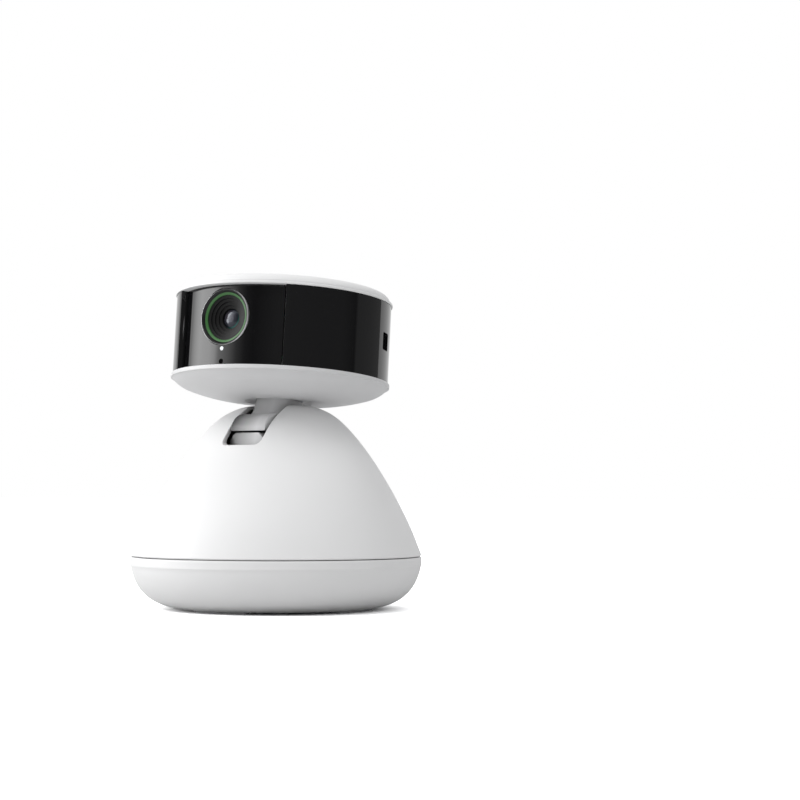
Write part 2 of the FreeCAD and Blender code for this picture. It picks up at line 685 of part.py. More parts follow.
def tilt_frame():
    """A bridge over the hub with two ears that carry the axle's bushes."""
    bridge_top = bridge_bottom + D.bridge_thickness
    parts = [box("bridge", (-leg_outer, -D.bridge_half, bridge_bottom),
                 (leg_outer, D.bridge_half, bridge_top))]
    for i, side in enumerate((-1, 1)):
        low, high = (-leg_outer, -leg_inner) if side < 0 else (leg_inner, leg_outer)
        parts.append(box("leg%d" % i, (low, -D.bridge_half, turntable_top), (high, D.bridge_half, bridge_top)))
        low, high = (-ear_outer, -D.ear_inner) if side < 0 else (D.ear_inner, ear_outer)
        parts.append(box("ear%d" % i, (low, -D.ear_half, bridge_bottom), (high, D.ear_half, D.pivot_height)))
        parts.append(rod("ear_top%d" % i, D.ear_half, D.ear_thickness, (low, 0, D.pivot_height), "x"))
    reach = motor_y + D.tilt_motor_radius
    parts.append(box("motor_wall", (-ear_outer, 0, motor_z - D.tilt_motor_radius),
                     (-D.ear_inner, reach, motor_z + D.tilt_motor_radius * 0.4)))
    parts.append(box("motor_wall_foot", (-ear_outer, 0, bridge_bottom),
                     (-D.ear_inner, D.bridge_half, motor_z)))
    holes = [rod("bush_way", bush_radius, 2 * leg_outer, (-leg_outer, 0, D.pivot_height), "x"),
             rod("tilt_shaft_way", D.shaft_radius + 1.2, D.ear_thickness + 2,
                 (-ear_outer - 1, motor_y, motor_z), "x")]
    return cut("tilt_frame", fuse("tilt_frame_whole", *parts), *holes)


def motor(name, radius, length, bore_depth, at, along):
    """A stepper can with a mounting flange and a bore for its shaft."""
    can = rod(name + "_can", radius, length, at, along)
    bore = rod(name + "_bore", D.shaft_radius + D.running_gap, bore_depth, at, along)
    return can, bore


def build_turntable():
    node("turntable", turntable())
    node("housing", housing())
    screws = []
    for i in range(4):
        x, y = around(boss_ring, 45 + 90 * i)
        screws.append(screw("housing_screw%d" % i, x, y, turntable_bottom + D.head_height,
                            D.housing_screw_length, 1))
    node("housing_screws", group("housing_screw_set", *screws))
    can, bore = motor("pan_motor", D.pan_motor_radius, D.pan_motor_height, D.shaft_grip + 0.5,
                      (0, -pan_distance, turntable_top), "z")
    reach, half = D.pan_motor_radius + D.motor_ear, D.motor_ear / 2
    ears = box("pan_motor_ears", (-reach, -pan_distance - half, turntable_top),
               (reach, -pan_distance + half, turntable_top + D.motor_flange))
    ear_holes = [rod("pan_ear_hole%d" % i, D.screw_radius + D.slack, D.motor_flange + 2,
                     (side * (reach - half), -pan_distance, turntable_top - 1))
                 for i, side in enumerate((-1, 1))]
    node("pan_motor", cut("pan_motor_whole", fuse("pan_motor_solid", can, ears), bore, *ear_holes))
    node("tilt_frame", tilt_frame())
    can, bore = motor("tilt_motor", D.tilt_motor_radius, D.tilt_motor_length, D.shaft_grip + 0.5,
                      (-D.ear_inner, motor_y, motor_z), "x")
    node("tilt_motor", cut("tilt_motor_whole", can, bore))
    bushes = [tube("bush%d" % i, bush_radius, D.axle_radius + D.running_gap, D.ear_thickness,
                   (low, 0, D.pivot_height), "x")
              for i, low in enumerate((-ear_outer, D.ear_inner))]
    node("axle_bushes", group("bush_pair", *bushes))
    speaker = doc.addObject("Part::Cylinder", "speaker_can")
    bind(speaker, Radius=D.speaker_radius, Height=D.speaker_depth)
    node("speaker", on_grille(speaker, speaker_face + D.speaker_depth))
    ring = doc.addObject("Part::Cylinder", "gasket_outside")
    hole = doc.addObject("Part::Cylinder", "gasket_inside")
    bind(ring, Radius=D.speaker_radius, Height=D.gasket_thickness)
    bind(hole, Radius=D.speaker_radius - D.gasket_width, Height=D.gasket_thickness)
    node("speaker_gasket", cut("gasket", on_grille(ring, speaker_face), on_grille(hole, speaker_face)))


def pinion(name, shaft_length, phase):
    """A pinion and its motor shaft, drawn along +Z from the gear's outer face."""
    teeth = gear(name + "_teeth", D.pinion_teeth, phase)
    shaft = rod(name + "_shaft", D.shaft_radius, D.gear_width + shaft_length)
    return fuse(name, teeth, shaft)


def build_pinions():
    """Each pinion turns a tooth gap towards the gear that it meets."""
    half_tooth = 180.0 / D.pinion_teeth.value
    low = D.deck_top + D.gear_gap
    drive = pinion("pan_pinion", turntable_top - low - D.gear_width + D.shaft_grip, 90.0 + half_tooth)
    node("pan_pinion", place(drive, 0, -pan_distance, low))
    drive = pinion("tilt_pinion", D.ear_thickness + D.gear_gap + D.shaft_grip,
                   D.motor_angle.value + 180.0 + half_tooth)
    node("tilt_pinion", place(drive, gear_face - D.gear_width, motor_y, motor_z, (0, 1, 0), 90))


# --- head, drawn level about the pivot --------------------------------------

band_top = D.band_bottom + D.band_height
band_inner = D.band_radius - D.band_wall
lip_radius = D.band_radius + D.lip_overhang
window_radius = D.band_radius - D.window_recess
frame_radius = band_inner - 2 * (D.head_radius + D.head_gap)
frame_inner = frame_radius - D.frame_wall
screw_ring = frame_radius + D.head_radius + D.head_gap
board_radius = frame_inner - D.board_gap
crown_radius = D.band_radius - D.crown_inset
front_start = 270 - D.window_angle / 2
window_inner = window_radius - D.window_wall
lens_front = -(window_radius - D.bezel_sunk)
flange_low = band_inner - D.button_clear - D.flange_thickness
switch_low = flange_low - D.button_travel - D.slack - D.switch_depth


def ellipse_post(name, across, along, low, height):
    """An upright post of oval section, longer in Y."""
    ring = doc.addObject("Part::Ellipse", name + "_outline")
    bind(ring, MajorRadius=along, MinorRadius=across)
    ring.Placement = FreeCAD.Placement(Vector(0, 0, 0), FreeCAD.Rotation(Vector(0, 0, 1), 90))
    bind(ring, Placement__Base__z=low)
    post = doc.addObject("Part::Extrusion", name)
    post.Base = ring
    post.DirMode = "Custom"
    post.Dir = Vector(0, 0, 1)
    post.Solid = True
    bind(post, LengthFwd=height)
    return post


def neck_ways(name):
    """The wire bore and the axle's hole, cut from both neck mouldings."""
    bore = rod(name + "_bore", D.wire_bore, D.spigot_top + D.nose_level + 2, (0, 0, -D.nose_level - 1))
    axle = rod(name + "_axle_way", D.axle_radius, 2 * neck_half + 2, (-neck_half - 1, 0, 0), "x")
    return bore, axle


def rounded_plan(name):
    """The neck's plan below the column: as wide as the slot allows, with a gently rounded front."""
    rear, front = D.knuckle_rear + 2, D.plan_round - D.nose_front
    return pad_up(name, [(neck_half, rear), (-neck_half, rear), (-neck_half, front, -D.plan_round),
                         (neck_half, front)], -D.nose_bottom - 2, D.nose_bottom + D.knuckle_top + 4)


def build_neck():
    column = ellipse_post("column", neck_half - D.column_inset, D.column_front, D.axle_radius + 0.5,
                          D.column_top - D.axle_radius - 0.5)
    spigot = rod("spigot", D.spigot_radius, D.spigot_top - D.knuckle_top + 1, (0, 0, D.knuckle_top - 1))
    split = D.parting + 1.0
    knuckle = pad_across("knuckle", [
        (-D.knuckle_front, D.knuckle_skirt), (-D.knuckle_shoulder + 1, split), (D.knuckle_rear, split, -1.1),
        (D.knuckle_rear - 3, D.knuckle_top), (-D.knuckle_shoulder, D.knuckle_top, -1.7)], neck_half)
    knuckle = common("knuckle_round", knuckle, rounded_plan("knuckle_plan"))
    node("neck_shell", cut("neck", fuse("neck_solid", knuckle, column, spigot), *neck_ways("neck")), True)
    lower = pad_across("knuckle_low", [
        (-D.nose_brow, D.brow_level), (-D.nose_front, -D.nose_level, -1.3),
        (-D.nose_half, -D.nose_bottom, -1.0), (D.nose_half, 0.6 - D.nose_bottom, -1.15),
        (D.nose_rear, 1.0), (-D.knuckle_shoulder + 1.2, 1.0)], neck_half)
    turn, flat, foot = 0.293 * D.nose_round, neck_half - D.nose_round, -D.nose_bottom - 1
    arch = pad_up_front("nose_arch", [
        (-neck_half, foot), (neck_half, foot), (neck_half, 1.0 - D.nose_round, -turn), (flat, 1.0),
        (-flat, 1.0, -turn), (-neck_half, 1.0 - D.nose_round)], D.nose_front + D.nose_rear + 3)
    lower = common("nose_solid", lower, place(arch, 0, D.nose_rear + 1, 0), rounded_plan("nose_plan"))
    node("neck_base", cut("neck_low", lower, *neck_ways("low")), True)
    length = 2 * ear_outer + D.gear_gap + D.gear_width + D.clip_gap + D.clip_thickness + 0.4
    node("tilt_axle", rod("axle_rod", D.axle_radius, length, (gear_face - D.gear_width - 0.2, 0, 0), "x"), True)
    node("axle_clip", tube("clip", clip_radius, D.axle_radius, D.clip_thickness,
                           (ear_outer + D.clip_gap, 0, 0), "x"), True)
    node("neck_nut", tube("nut", D.nut_radius, D.spigot_radius, D.nut_height,
                          (0, 0, D.bowl_bottom + D.bowl_wall)), True)


def build_tilt_gear():
    """A toothed sector that meets the tilt pinion behind and below the axle."""
    teeth = gear("tilt_gear_teeth", D.tilt_gear_teeth, D.motor_angle.value + D.rest_tilt.value)
    outer = D.gear_module * (D.tilt_gear_teeth / 2 + 1) + 1
    keep = rod("sector_keep", outer, D.gear_width, span=D.sector_span, start=D.sector_start)
    hub = rod("sector_hub", clip_radius, D.gear_width)
    bore = rod("sector_bore", D.axle_radius, D.gear_width + 2, (0, 0, -1))
    sector = cut("sector", fuse("sector_whole", common("sector_teeth", teeth, keep), hub), bore)
    place(sector, gear_face - D.gear_width, 0, 0, (0, 1, 0), 90)
    node("tilt_gear", sector, True)


def band_sector(name, outer, inner, low, height, span, start):
    return arc_block(name, outer, inner, low, height, span, start)


def button_way(name, gap):
    """The opening for the side button, turned to its place on the band."""
    half, tall = D.button_width / 2 + gap, D.button_tall / 2 + gap
    way = box(name + "_box", (frame_radius - 3, -half, D.button_height - tall),
              (D.band_radius + 3, half, D.button_height + tall))
    return turned_to_button(name, way)


def turned_to_button(name, *shapes):
    holder = group(name, *shapes)
    return place(holder, 0, 0, 0, axis=(0, 0, 1), angle=D.button_angle)


def build_shells():
    lip_top = D.band_bottom
    lip_low = lip_top - D.lip_height
    rim = lip_radius - D.lip_width
    bowl = turned("bowl_shell", [
        (D.spigot_radius + D.slack, D.bowl_bottom + D.neck_recess),
        (D.nut_radius - 0.6, D.bowl_bottom + D.neck_recess), (D.nut_radius + 1, D.bowl_bottom + 0.1, -0.75),
        (lip_radius - D.bowl_turn, D.bowl_bottom + D.bowl_rise, -0.45), (lip_radius - 0.4, lip_low - 0.4),
        (lip_radius, lip_low), (lip_radius, lip_top - 0.2), (lip_radius - 0.2, lip_top),
        (rim, lip_top), (rim, lip_low, 0.4),
        (lip_radius - D.bowl_turn - 0.8, D.bowl_bottom + D.bowl_rise + D.bowl_wall - 0.1, 0.7),
        (D.nut_radius, D.bowl_bottom + D.bowl_wall), (D.spigot_radius + D.slack, D.bowl_bottom + D.bowl_wall)])
    bosses, pilots = [], []
    for i, angle in enumerate(SCREW_ANGLES):
        x, y = around(screw_ring, angle)
        bosses.append(rod("bowl_boss%d" % i, D.boss_small, D.band_bottom - D.bowl_bottom - D.bowl_rise - 1.2,
                          (x, y, D.bowl_bottom + D.bowl_rise + 1.2)))
        pilots.append(rod("bowl_pilot%d" % i, D.screw_radius + D.pilot_gap, D.bowl_screw_length,
                          (x, y, D.band_bottom + D.frame_floor - D.bowl_screw_length - D.head_gap)))
    node("head_bowl", cut("bowl", fuse("bowl_whole", bowl, *bosses), *pilots), True)
    band = band_sector("band_skin", D.band_radius, band_inner, D.band_bottom,
                       D.band_height, 360 - D.window_angle, 270 + D.window_angle / 2)
    jambs = [band_sector("jamb%d" % i, D.band_radius, window_inner, D.band_bottom, D.band_height,
                         D.jamb_angle, start)
             for i, start in enumerate((270 + D.window_angle / 2, front_start - D.jamb_angle))]
    node("head_band", cut("band", fuse("band_whole", band, *jambs), button_way("band_way", D.button_gap)), True)
    panel = band_sector("window_panel", window_radius, window_inner, D.band_bottom, D.band_height,
                        D.window_angle - 0.4, front_start + 0.2)
    back = -(window_radius + 3)
    holes = [rod("lens_way", D.bezel_radius + 0.02, 8, (0, back, D.lens_height), "y"),
             rod("light_way", D.light_radius + 0.02, 8, (0, back, D.light_height), "y"),
             rod("mic_way", D.mic_radius, 8, (0, back, D.mic_height), "y")]
    node("lens_window", cut("window", panel, *holes), True)
    cover_edge, dome = D.band_radius - 0.2, band_top + D.cover_rise
    crown = dome_sag(crown_radius, D.crown_rise)
    cover = turned("cover_shell", [
        (0, dome - D.cover_wall), (0, dome, crown), (crown_radius, dome - D.crown_rise, 0.7),
        (cover_edge, band_top + D.cover_lip + D.cover_step),
        (cover_edge - 0.4, band_top + D.cover_lip + D.cover_step),
        (cover_edge - 0.4, band_top + D.cover_lip), (lip_radius - D.slack, band_top + D.cover_lip),
        (lip_radius - D.slack, band_top), (band_inner - 0.6, band_top),
        (band_inner - 0.6, band_top + 1.0),
        (crown_radius - 0.8, dome - D.crown_rise - D.cover_wall, -crown)])
    bosses, pilots = [], []
    for i, angle in enumerate(SCREW_ANGLES):
        x, y = around(screw_ring, angle)
        bosses.append(rod("cover_boss%d" % i, D.boss_small, D.cover_rise - D.crown_rise - D.cover_wall + 0.5,
                          (x, y, band_top)))
        pilots.append(rod("cover_pilot%d" % i, D.screw_radius + D.pilot_gap,
                          D.cover_screw_length - D.frame_floor + D.head_gap + 0.4, (x, y, band_top - 0.4)))
    node("top_cover", cut("cover", fuse("cover_whole", cover, *bosses), *pilots), True)


SCREW_ANGLES = (-40.0, 50.0, 130.0, 220.0)


def build_frame():
    """The carrier inside the band, and what fastens it."""
    inner, wide = frame_inner, band_inner - D.frame_slack
    frame = turned("frame_tube", [
        (inner, D.band_bottom), (wide, D.band_bottom), (wide, D.band_bottom + D.frame_floor),
        (frame_radius, D.band_bottom + D.frame_floor), (frame_radius, band_top - D.frame_floor),
        (wide, band_top - D.frame_floor), (wide, band_top), (inner, band_top)])
    front = rod("frame_front", D.band_radius + 2, D.band_height + 2, (0, 0, D.band_bottom - 1),
                span=D.window_angle + 4 * D.jamb_angle, start=front_start - 2 * D.jamb_angle)
    half = D.switch_board / 2 - 1
    pad = turned_to_button("frame_pad", box(
        "frame_pad_box", (inner + 0.4, -half, D.button_height - half),
        (switch_low - D.board_thickness, half, D.button_height + half)))
    holes = []
    for i, angle in enumerate(SCREW_ANGLES):
        x, y = around(screw_ring, angle)
        holes.append(rod("frame_hole%d" % i, D.screw_radius + D.slack, D.band_height + 2,
                         (x, y, D.band_bottom - 1)))
    node("head_frame", cut("frame", fuse("frame_whole", frame, pad), front, *holes), True)
    lower, upper = [], []
    for i, angle in enumerate(SCREW_ANGLES):
        x, y = around(screw_ring, angle)
        lower.append(screw("bowl_screw%d" % i, x, y, D.band_bottom + D.frame_floor, D.bowl_screw_length, -1))
        upper.append(screw("cover_screw%d" % i, x, y, band_top - D.frame_floor, D.cover_screw_length, 1))
    node("head_screws", group("head_screw_set", *(lower + upper)), True)


def lathe_lens(name, corners):
    """A piece turned about the lens axis, from (radius, distance behind the bezel's front)."""
    body = turned(name + "_lathe", corners)
    holder = group(name, body)
    place(body, 0, 0, 0, axis=(1, 0, 0), angle=-90)
    return place(holder, 0, lens_front, D.lens_height)


def build_lens():
    back = D.window_wall - D.bezel_sunk
    node("lens_bezel", lathe_lens("bezel", [
        (D.bezel_radius - D.bezel_wall, 0.5), (D.bezel_radius - 0.5, 0), (D.bezel_radius, 0.3),
        (D.bezel_radius, back), (D.bezel_radius - D.bezel_wall, back)]), True)
    ring_outer = D.bezel_radius - D.bezel_wall
    ring_inner = ring_outer - D.ring_wall
    node("lens_ring", lathe_lens("ring", [
        (ring_inner, 1.1), (ring_outer, 0.7), (ring_outer, 2.0), (ring_inner, 2.0)]), True)
    step = D.cone_depth / 4
    slope = (ring_inner - D.glass_radius) / 4
    steps = []
    for i in range(4):
        steps += [(ring_inner - slope * i, 1.3 + step * i),
                  (ring_inner - slope * (i + 1), 1.3 + step * i + step * 0.45)]
    depth = 1.3 + D.cone_depth
    node("lens_barrel", lathe_lens("barrel", [
        (0, depth + 1.0), (D.glass_radius, depth + 1.0), (D.glass_radius, depth)] + steps[::-1] + [
        (ring_inner, 2.0 + 0.02), (D.barrel_radius, 2.02), (D.barrel_radius, D.barrel_length),
        (0, D.barrel_length)]), True)
    node("lens_glass", lathe_lens("glass", [
        (0, depth + 1.0), (0, depth - 0.4, -dome_sag(D.glass_radius - 0.02, size(0.8))),
        (D.glass_radius - 0.02, depth + 0.4), (D.glass_radius - 0.02, depth + 1.0)]), True)
    half, low = D.holder_size / 2, lens_front + D.barrel_length
    node("lens_holder", box("holder_block", (-half, low, D.lens_height - half),
                            (half, low + D.holder_depth, D.lens_height + half)), True)
    half = D.sensor_size / 2
    node("sensor_board", box("sensor_panel", (-half, low + D.holder_depth, D.lens_height - half + 2),
                             (half, low + D.holder_depth + D.board_thickness, D.lens_height + half - 2)), True)


def radial_rod(name, radius, length, start, height, angle):
    """A rod that points outwards from the head's axis, by its angle from +X."""
    rod_x = rod(name + "_rod", radius, length, (start, 0, height), "x")
    return place(group(name, rod_x), 0, 0, 0, axis=(0, 0, 1), angle=angle)


def build_small_parts():
    inner = window_inner - 0.15
    leds = [radial_rod("led%d" % i, D.led_radius, D.led_length, inner - D.led_length, D.lens_height,
                       270 + side * D.led_angle)
            for i, side in enumerate((-1, 1))]
    node("infrared_leds", group("led_pair", *leds), True)
    panels = []
    for i, side in enumerate((-1, 1)):
        half, back = D.led_radius * 1.6, inner - D.led_length
        panel = box("led_panel%d" % i, (back - D.board_thickness, -half, D.lens_height - half * 1.5),
                    (back, half, D.lens_height + half * 1.5))
        panels.append(place(group("led_board%d" % i, panel), 0, 0, 0, axis=(0, 0, 1),
                            angle=270 + side * D.led_angle))
    node("led_boards", group("led_board_pair", *panels), True)
    node("status_light", radial_rod("light_pipe", D.light_radius, D.window_wall + 2.0, window_inner - 2.0,
                                    D.light_height, size(270)), True)
    node("microphone", radial_rod("mic_can_rod", D.mic_can, D.window_wall, inner - D.window_wall,
                                  D.mic_height + 0.2, size(270)), True)
    disc = rod("board_disc", board_radius, D.board_thickness, (0, 0, D.main_board_height))
    flat = box("board_flat", (-D.band_radius, -D.band_radius, D.main_board_height - 1),
               (D.band_radius, -D.board_front, D.main_board_height + D.board_thickness + 1))
    node("main_board", cut("board", disc, flat), True)
    half, top = D.shield_size / 2, D.main_board_height + D.board_thickness
    node("chip_shield", box("shield", (-half, -2, top), (half, D.shield_size - 2, top + D.shield_height)), True)
    node("heat_spreader", rod("spreader", board_radius - D.spreader_inset, D.spreader_thickness,
                              (0, 0, D.main_board_height - D.board_gap - D.spreader_thickness)), True)
    node("antenna", band_sector("antenna_strip", frame_radius + 0.05 + D.antenna_thickness,
                                frame_radius + 0.05, D.lens_height - D.antenna_width / 2, D.antenna_width,
                                D.antenna_span, 90 - D.antenna_span / 2), True)


def build_button():
    face = D.band_radius - D.button_recess
    half, tall, wide = D.button_width / 2, D.button_tall / 2, D.flange_width / 2
    cap = box("button_cap", (flange_low, -half, D.button_height - tall),
              (face, half, D.button_height + tall))
    flange = box("button_flange", (flange_low, -wide, D.button_height - wide),
                 (flange_low + D.flange_thickness, wide, D.button_height + wide))
    node("setup_button", turned_to_button("button", fuse("button_solid", cap, flange)), True)
    half, low = D.switch_board / 2, switch_low - D.board_thickness
    board = box("button_panel", (low, -half, D.button_height - half),
                (switch_low, half, D.button_height + half))
    half = D.switch_width / 2
    switch = box("switch_block", (switch_low, -half, D.button_height - half),
                 (switch_low + D.switch_depth, half, D.button_height + half))
    node("button_board", turned_to_button("switch", fuse("switch_solid", board, switch)), True)


def check_and_export():
    doc.recompute()
    failed = [o.Label for o in doc.Objects if "Invalid" in o.State or "Error" in o.State]
    bad = [o.Label for o in NODES if o.Shape.isNull() or not o.Shape.isValid() or not o.Shape.Solids]
    if failed or bad:
        raise SystemExit("failed objects: %s, bad shapes: %s" % (failed, bad))
    os.makedirs("parts", exist_ok=True)
    for thing in NODES:
        thing.Shape.exportStep("parts/%s.step" % thing.Label)
        print("%-18s solids %2d volume %9.1f" % (thing.Label, len(thing.Shape.Solids), thing.Shape.Volume))


build_base()
build_turntable()
build_pinions()
build_neck()
build_tilt_gear()
build_shells()
build_frame()
build_lens()
build_small_parts()
build_button()
check_and_export()
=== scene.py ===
import math

import bpy
import numpy as np
from mathutils import Matrix, Vector


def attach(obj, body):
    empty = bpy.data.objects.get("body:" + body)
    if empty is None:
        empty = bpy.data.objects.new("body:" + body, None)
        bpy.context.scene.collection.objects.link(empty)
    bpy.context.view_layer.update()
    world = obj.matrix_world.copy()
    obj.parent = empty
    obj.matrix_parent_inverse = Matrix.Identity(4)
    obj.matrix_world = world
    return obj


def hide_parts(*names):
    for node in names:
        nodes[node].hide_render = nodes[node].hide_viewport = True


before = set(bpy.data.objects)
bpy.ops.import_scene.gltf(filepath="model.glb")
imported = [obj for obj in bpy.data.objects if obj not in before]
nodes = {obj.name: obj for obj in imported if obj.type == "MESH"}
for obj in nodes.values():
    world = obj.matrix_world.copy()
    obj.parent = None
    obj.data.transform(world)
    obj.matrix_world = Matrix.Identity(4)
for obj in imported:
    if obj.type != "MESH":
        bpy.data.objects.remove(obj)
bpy.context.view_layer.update()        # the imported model: bodies, nodes, joints, record
print("frame loaded,", len(nodes), "nodes")

# All shapes below are in millimetres. The head's pieces are worked out upright about the tilt axle.
millimetre = 0.001
tilt = {"axleHeight": 55.0, "restLean": 4.9}


# ---- mesh making: grids of points, closed and welded ----

# A rows by columns grid of points joined into quads. A looped side joins its last line to its first.
def gridQuads(rows, columns, loopRows=True, loopColumns=True):
    index = np.arange(rows * columns).reshape(rows, columns)
    if loopRows:
        index = np.vstack([index, index[:1]])
    if loopColumns:
        index = np.hstack([index, index[:, :1]])
    return np.stack([index[:-1, :-1], index[1:, :-1], index[1:, 1:], index[:-1, 1:]], -1).reshape(-1, 4)


# Points that meet are welded, so a row drawn in to one point is a pole. The signed volume, the sum of
# a . (b x c) over the triangles, is positive when the faces point outwards, so they turn round if not.
def makePiece(name, points, quads, crease=32.0):
    places, index = np.unique(np.round(points.reshape(-1, 3), 4), axis=0, return_inverse=True)
    quads = index.reshape(-1)[quads]
    quads = quads[(quads[:, 0] != quads[:, 2]) & (quads[:, 1] != quads[:, 3])]
    same = quads == np.roll(quads, -1, axis=1)
    whole = quads[~same.any(axis=1)]
    thirds = [np.delete(quads[same[:, k] & (same.sum(axis=1) == 1)], k, axis=1) for k in range(4)]
    thirds = np.vstack(thirds)
    corners = places[np.vstack([whole[:, [0, 1, 2]], whole[:, [0, 2, 3]], thirds])]
    if np.einsum("ij,ij->", corners[:, 0], np.cross(corners[:, 1], corners[:, 2])) < 0:
        whole, thirds = whole[:, ::-1], thirds[:, ::-1]
    mesh = bpy.data.meshes.new(name)
    mesh.from_pydata((places * millimetre).tolist(), [], whole.tolist() + thirds.tolist())
    piece = bpy.data.objects.new(name, mesh)
    bpy.context.scene.collection.objects.link(piece)
    return shadeSoft(piece, crease)


def shadeSoft(piece, crease):
    piece.data.shade_smooth()
    piece.data.set_sharp_from_angle(angle=math.radians(crease))
    return piece


# A corner p becomes the curve (1-t)^2 a + 2t(1-t) p + t^2 b, where a and b lie on the sides next to
# it at the corner's own reach, or at half the side where that is shorter.
def softCorners(points, reach, steps=6):
    back, onward = np.roll(points, 1, 0) - points, np.roll(points, -1, 0) - points
    backSize = np.maximum(np.linalg.norm(back, axis=1, keepdims=True), 1e-9)
    onSize = np.maximum(np.linalg.norm(onward, axis=1, keepdims=True), 1e-9)
    a = points + back / backSize * np.minimum(reach[:, None], 0.49 * backSize)
    b = points + onward / onSize * np.minimum(reach[:, None], 0.49 * onSize)
    t = np.linspace(0, 1, steps)[None, :, None]
    curve = (1 - t) ** 2 * a[:, None] + 2 * t * (1 - t) * points[:, None] + t ** 2 * b[:, None]
    keep = np.ones((len(points), steps), bool)
    keep[reach <= 0, 1:] = False
    return curve[keep]


# A closed outline through corners (across, up, softness, bulge). The side after a corner is an arc
# that stands out to the right of its direction by the bulge: p + side t + normal 4 bulge t (1-t).
def outline(corners, arcSteps=18, softSteps=6):
    points, reach = [], []
    for (x, y, soft, bulge), (nextX, nextY, nextSoft, _) in zip(corners, corners[1:] + corners[:1]):
        side = np.array([nextX - x, nextY - y])
        length = float(np.hypot(*side))
        if bulge:
            t = np.linspace(0, 1, arcSteps, endpoint=False)
        elif length > 2.4 * (soft + nextSoft) and length > 0.6:
            t = np.unique([0, 1.2 * max(soft, 0.1) / length * 1.6, 1 - 1.9 * max(nextSoft, 0.1) / length])
        else:
            t = np.zeros(1)
        normal = np.array([side[1], -side[0]]) / max(length, 1e-9)
        points.append([x, y] + t[:, None] * side + (4 * bulge * t * (1 - t))[:, None] * normal)
        reach.append(np.where(t == 0, soft, 0))
    return softCorners(np.vstack(points), np.concatenate(reach), softSteps)


# Turned about the upright axis: (r, z) goes to (r cos a, r sin a, z).
def turned(shape, steps=180):
    angle = np.linspace(0, 2 * np.pi, steps, endpoint=False)
    r, z = shape[:, :1], shape[:, 1:]
    return np.stack([r * np.cos(angle), r * np.sin(angle), z + 0 * angle], -1)


# A lens part is turned about a line along Y: (r, depth) goes to (r cos a, front + depth, r sin a).
def turnedOnLens(shape, front, height, steps=128):
    around = turned(shape, steps)
    return np.stack([around[..., 0], front + around[..., 2], height + around[..., 1]], -1)


# The head leans back about the tilt axle: a turn in the YZ plane, then up to the axle's height.
def onHead(points):
    lean = math.radians(tilt["restLean"])
    x, y, z = points[..., 0], points[..., 1], points[..., 2]
    return np.stack([x, y * math.cos(lean) + z * math.sin(lean),
                     z * math.cos(lean) - y * math.sin(lean) + tilt["axleHeight"]], -1)


# An outline is pushed along the third direction. Both ends are drawn in over the edge's softness by a
# quarter circle, 1 - cos and 1 - sin of the same angle, and closed by drawing them in to their middle.
def pushed(shape, low, high, edge, steps=5):
    ahead, behind = np.roll(shape, -1, 0), np.roll(shape, 1, 0)
    along = ahead - behind
    normal = np.stack([-along[:, 1], along[:, 0]], -1) / np.maximum(
        np.linalg.norm(along, axis=1, keepdims=True), 1e-9)
    x, y = shape.T
    if np.sum(x * np.roll(y, -1) - np.roll(x, -1) * y) < 0:
        normal = -normal
    turn = np.linspace(0, np.pi / 2, steps)
    inset = np.concatenate([edge * (1 - np.sin(turn)), edge * (1 - np.sin(turn[::-1]))])
    level = np.concatenate([low + edge * (1 - np.cos(turn)), high - edge * (1 - np.cos(turn[::-1]))])
    rings = shape[None] + normal[None] * inset[:, None, None]
    middle = shape.mean(axis=0)
    near = middle + (rings[:1] - middle) * 0.97
    far = middle + (rings[-1:] - middle) * 0.97
    rings = np.concatenate([np.broadcast_to(middle, near.shape), near, rings, far,
                            np.broadcast_to(middle, far.shape)])
    level = np.concatenate([[low, low], level, [high, high]])
    return np.concatenate([rings, np.broadcast_to(level[:, None, None], rings.shape[:2] + (1,))], -1)


def solidOf(name, grid, loopRows=True, crease=32.0):
    return makePiece(name, grid, gridQuads(*grid.shape[:2], loopRows, True), crease)


# A rounded rectangle as an outline, across and up from its middle.
def plate(width, height, corner, middle=(0.0, 0.0)):
    x, y = width / 2, height / 2
    return outline([(-x, -y, corner, 0), (x, -y, corner, 0), (x, y, corner, 0), (-x, y, corner, 0)]) + middle


# The evaluated result of one boolean per tool is kept as the piece's mesh; the tools are removed.
def carve(piece, tools, how="DIFFERENCE", crease=32.0):
    for tool in tools:
        step = piece.modifiers.new("carve", "BOOLEAN")
        step.operation, step.object, step.solver = how, tool, "MANIFOLD"
    result = bpy.data.meshes.new_from_object(piece.evaluated_get(bpy.context.evaluated_depsgraph_get()))
    piece.modifiers.clear()
    result.materials.clear()
    result.polygons.foreach_set("material_index", np.zeros(len(result.polygons), np.int32))
    old, piece.data = piece.data, result
    result.name = piece.name
    bpy.data.meshes.remove(old)
    for tool in tools:
        bpy.data.meshes.remove(tool.data)
    return shadeSoft(piece, crease)


def standIn(piece, body, slot, material, *replaced):
    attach(piece, body)
    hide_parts(*replaced)
    piece.data.materials.append(material)


# ---- camera, floor and light ----

view = {"place": (0.35034, -0.50501, 0.03683), "aim": (-0.5146, 0.85592, 0.05076), "roll": 0.144,
        "lens": 84.58, "sensor": 36.0, "clip": (0.01, 50.0)}

camera = bpy.data.objects.new("camera", bpy.data.cameras.new("camera"))
bpy.context.scene.collection.objects.link(camera)
bpy.context.scene.camera = camera
camera.data.lens, camera.data.sensor_width = view["lens"], view["sensor"]
camera.location = view["place"]
camera.rotation_mode = "QUATERNION"
camera.rotation_quaternion = (Vector(view["aim"]).to_track_quat("-Z", "Y")
                              @ Matrix.Rotation(math.radians(view["roll"]), 3, "Z").to_quaternion())
camera.data.clip_start, camera.data.clip_end = view["clip"]
bpy.context.scene.view_settings.view_transform = "Standard"


def wire(tree, start, end):
    tree.links.new(start, end)


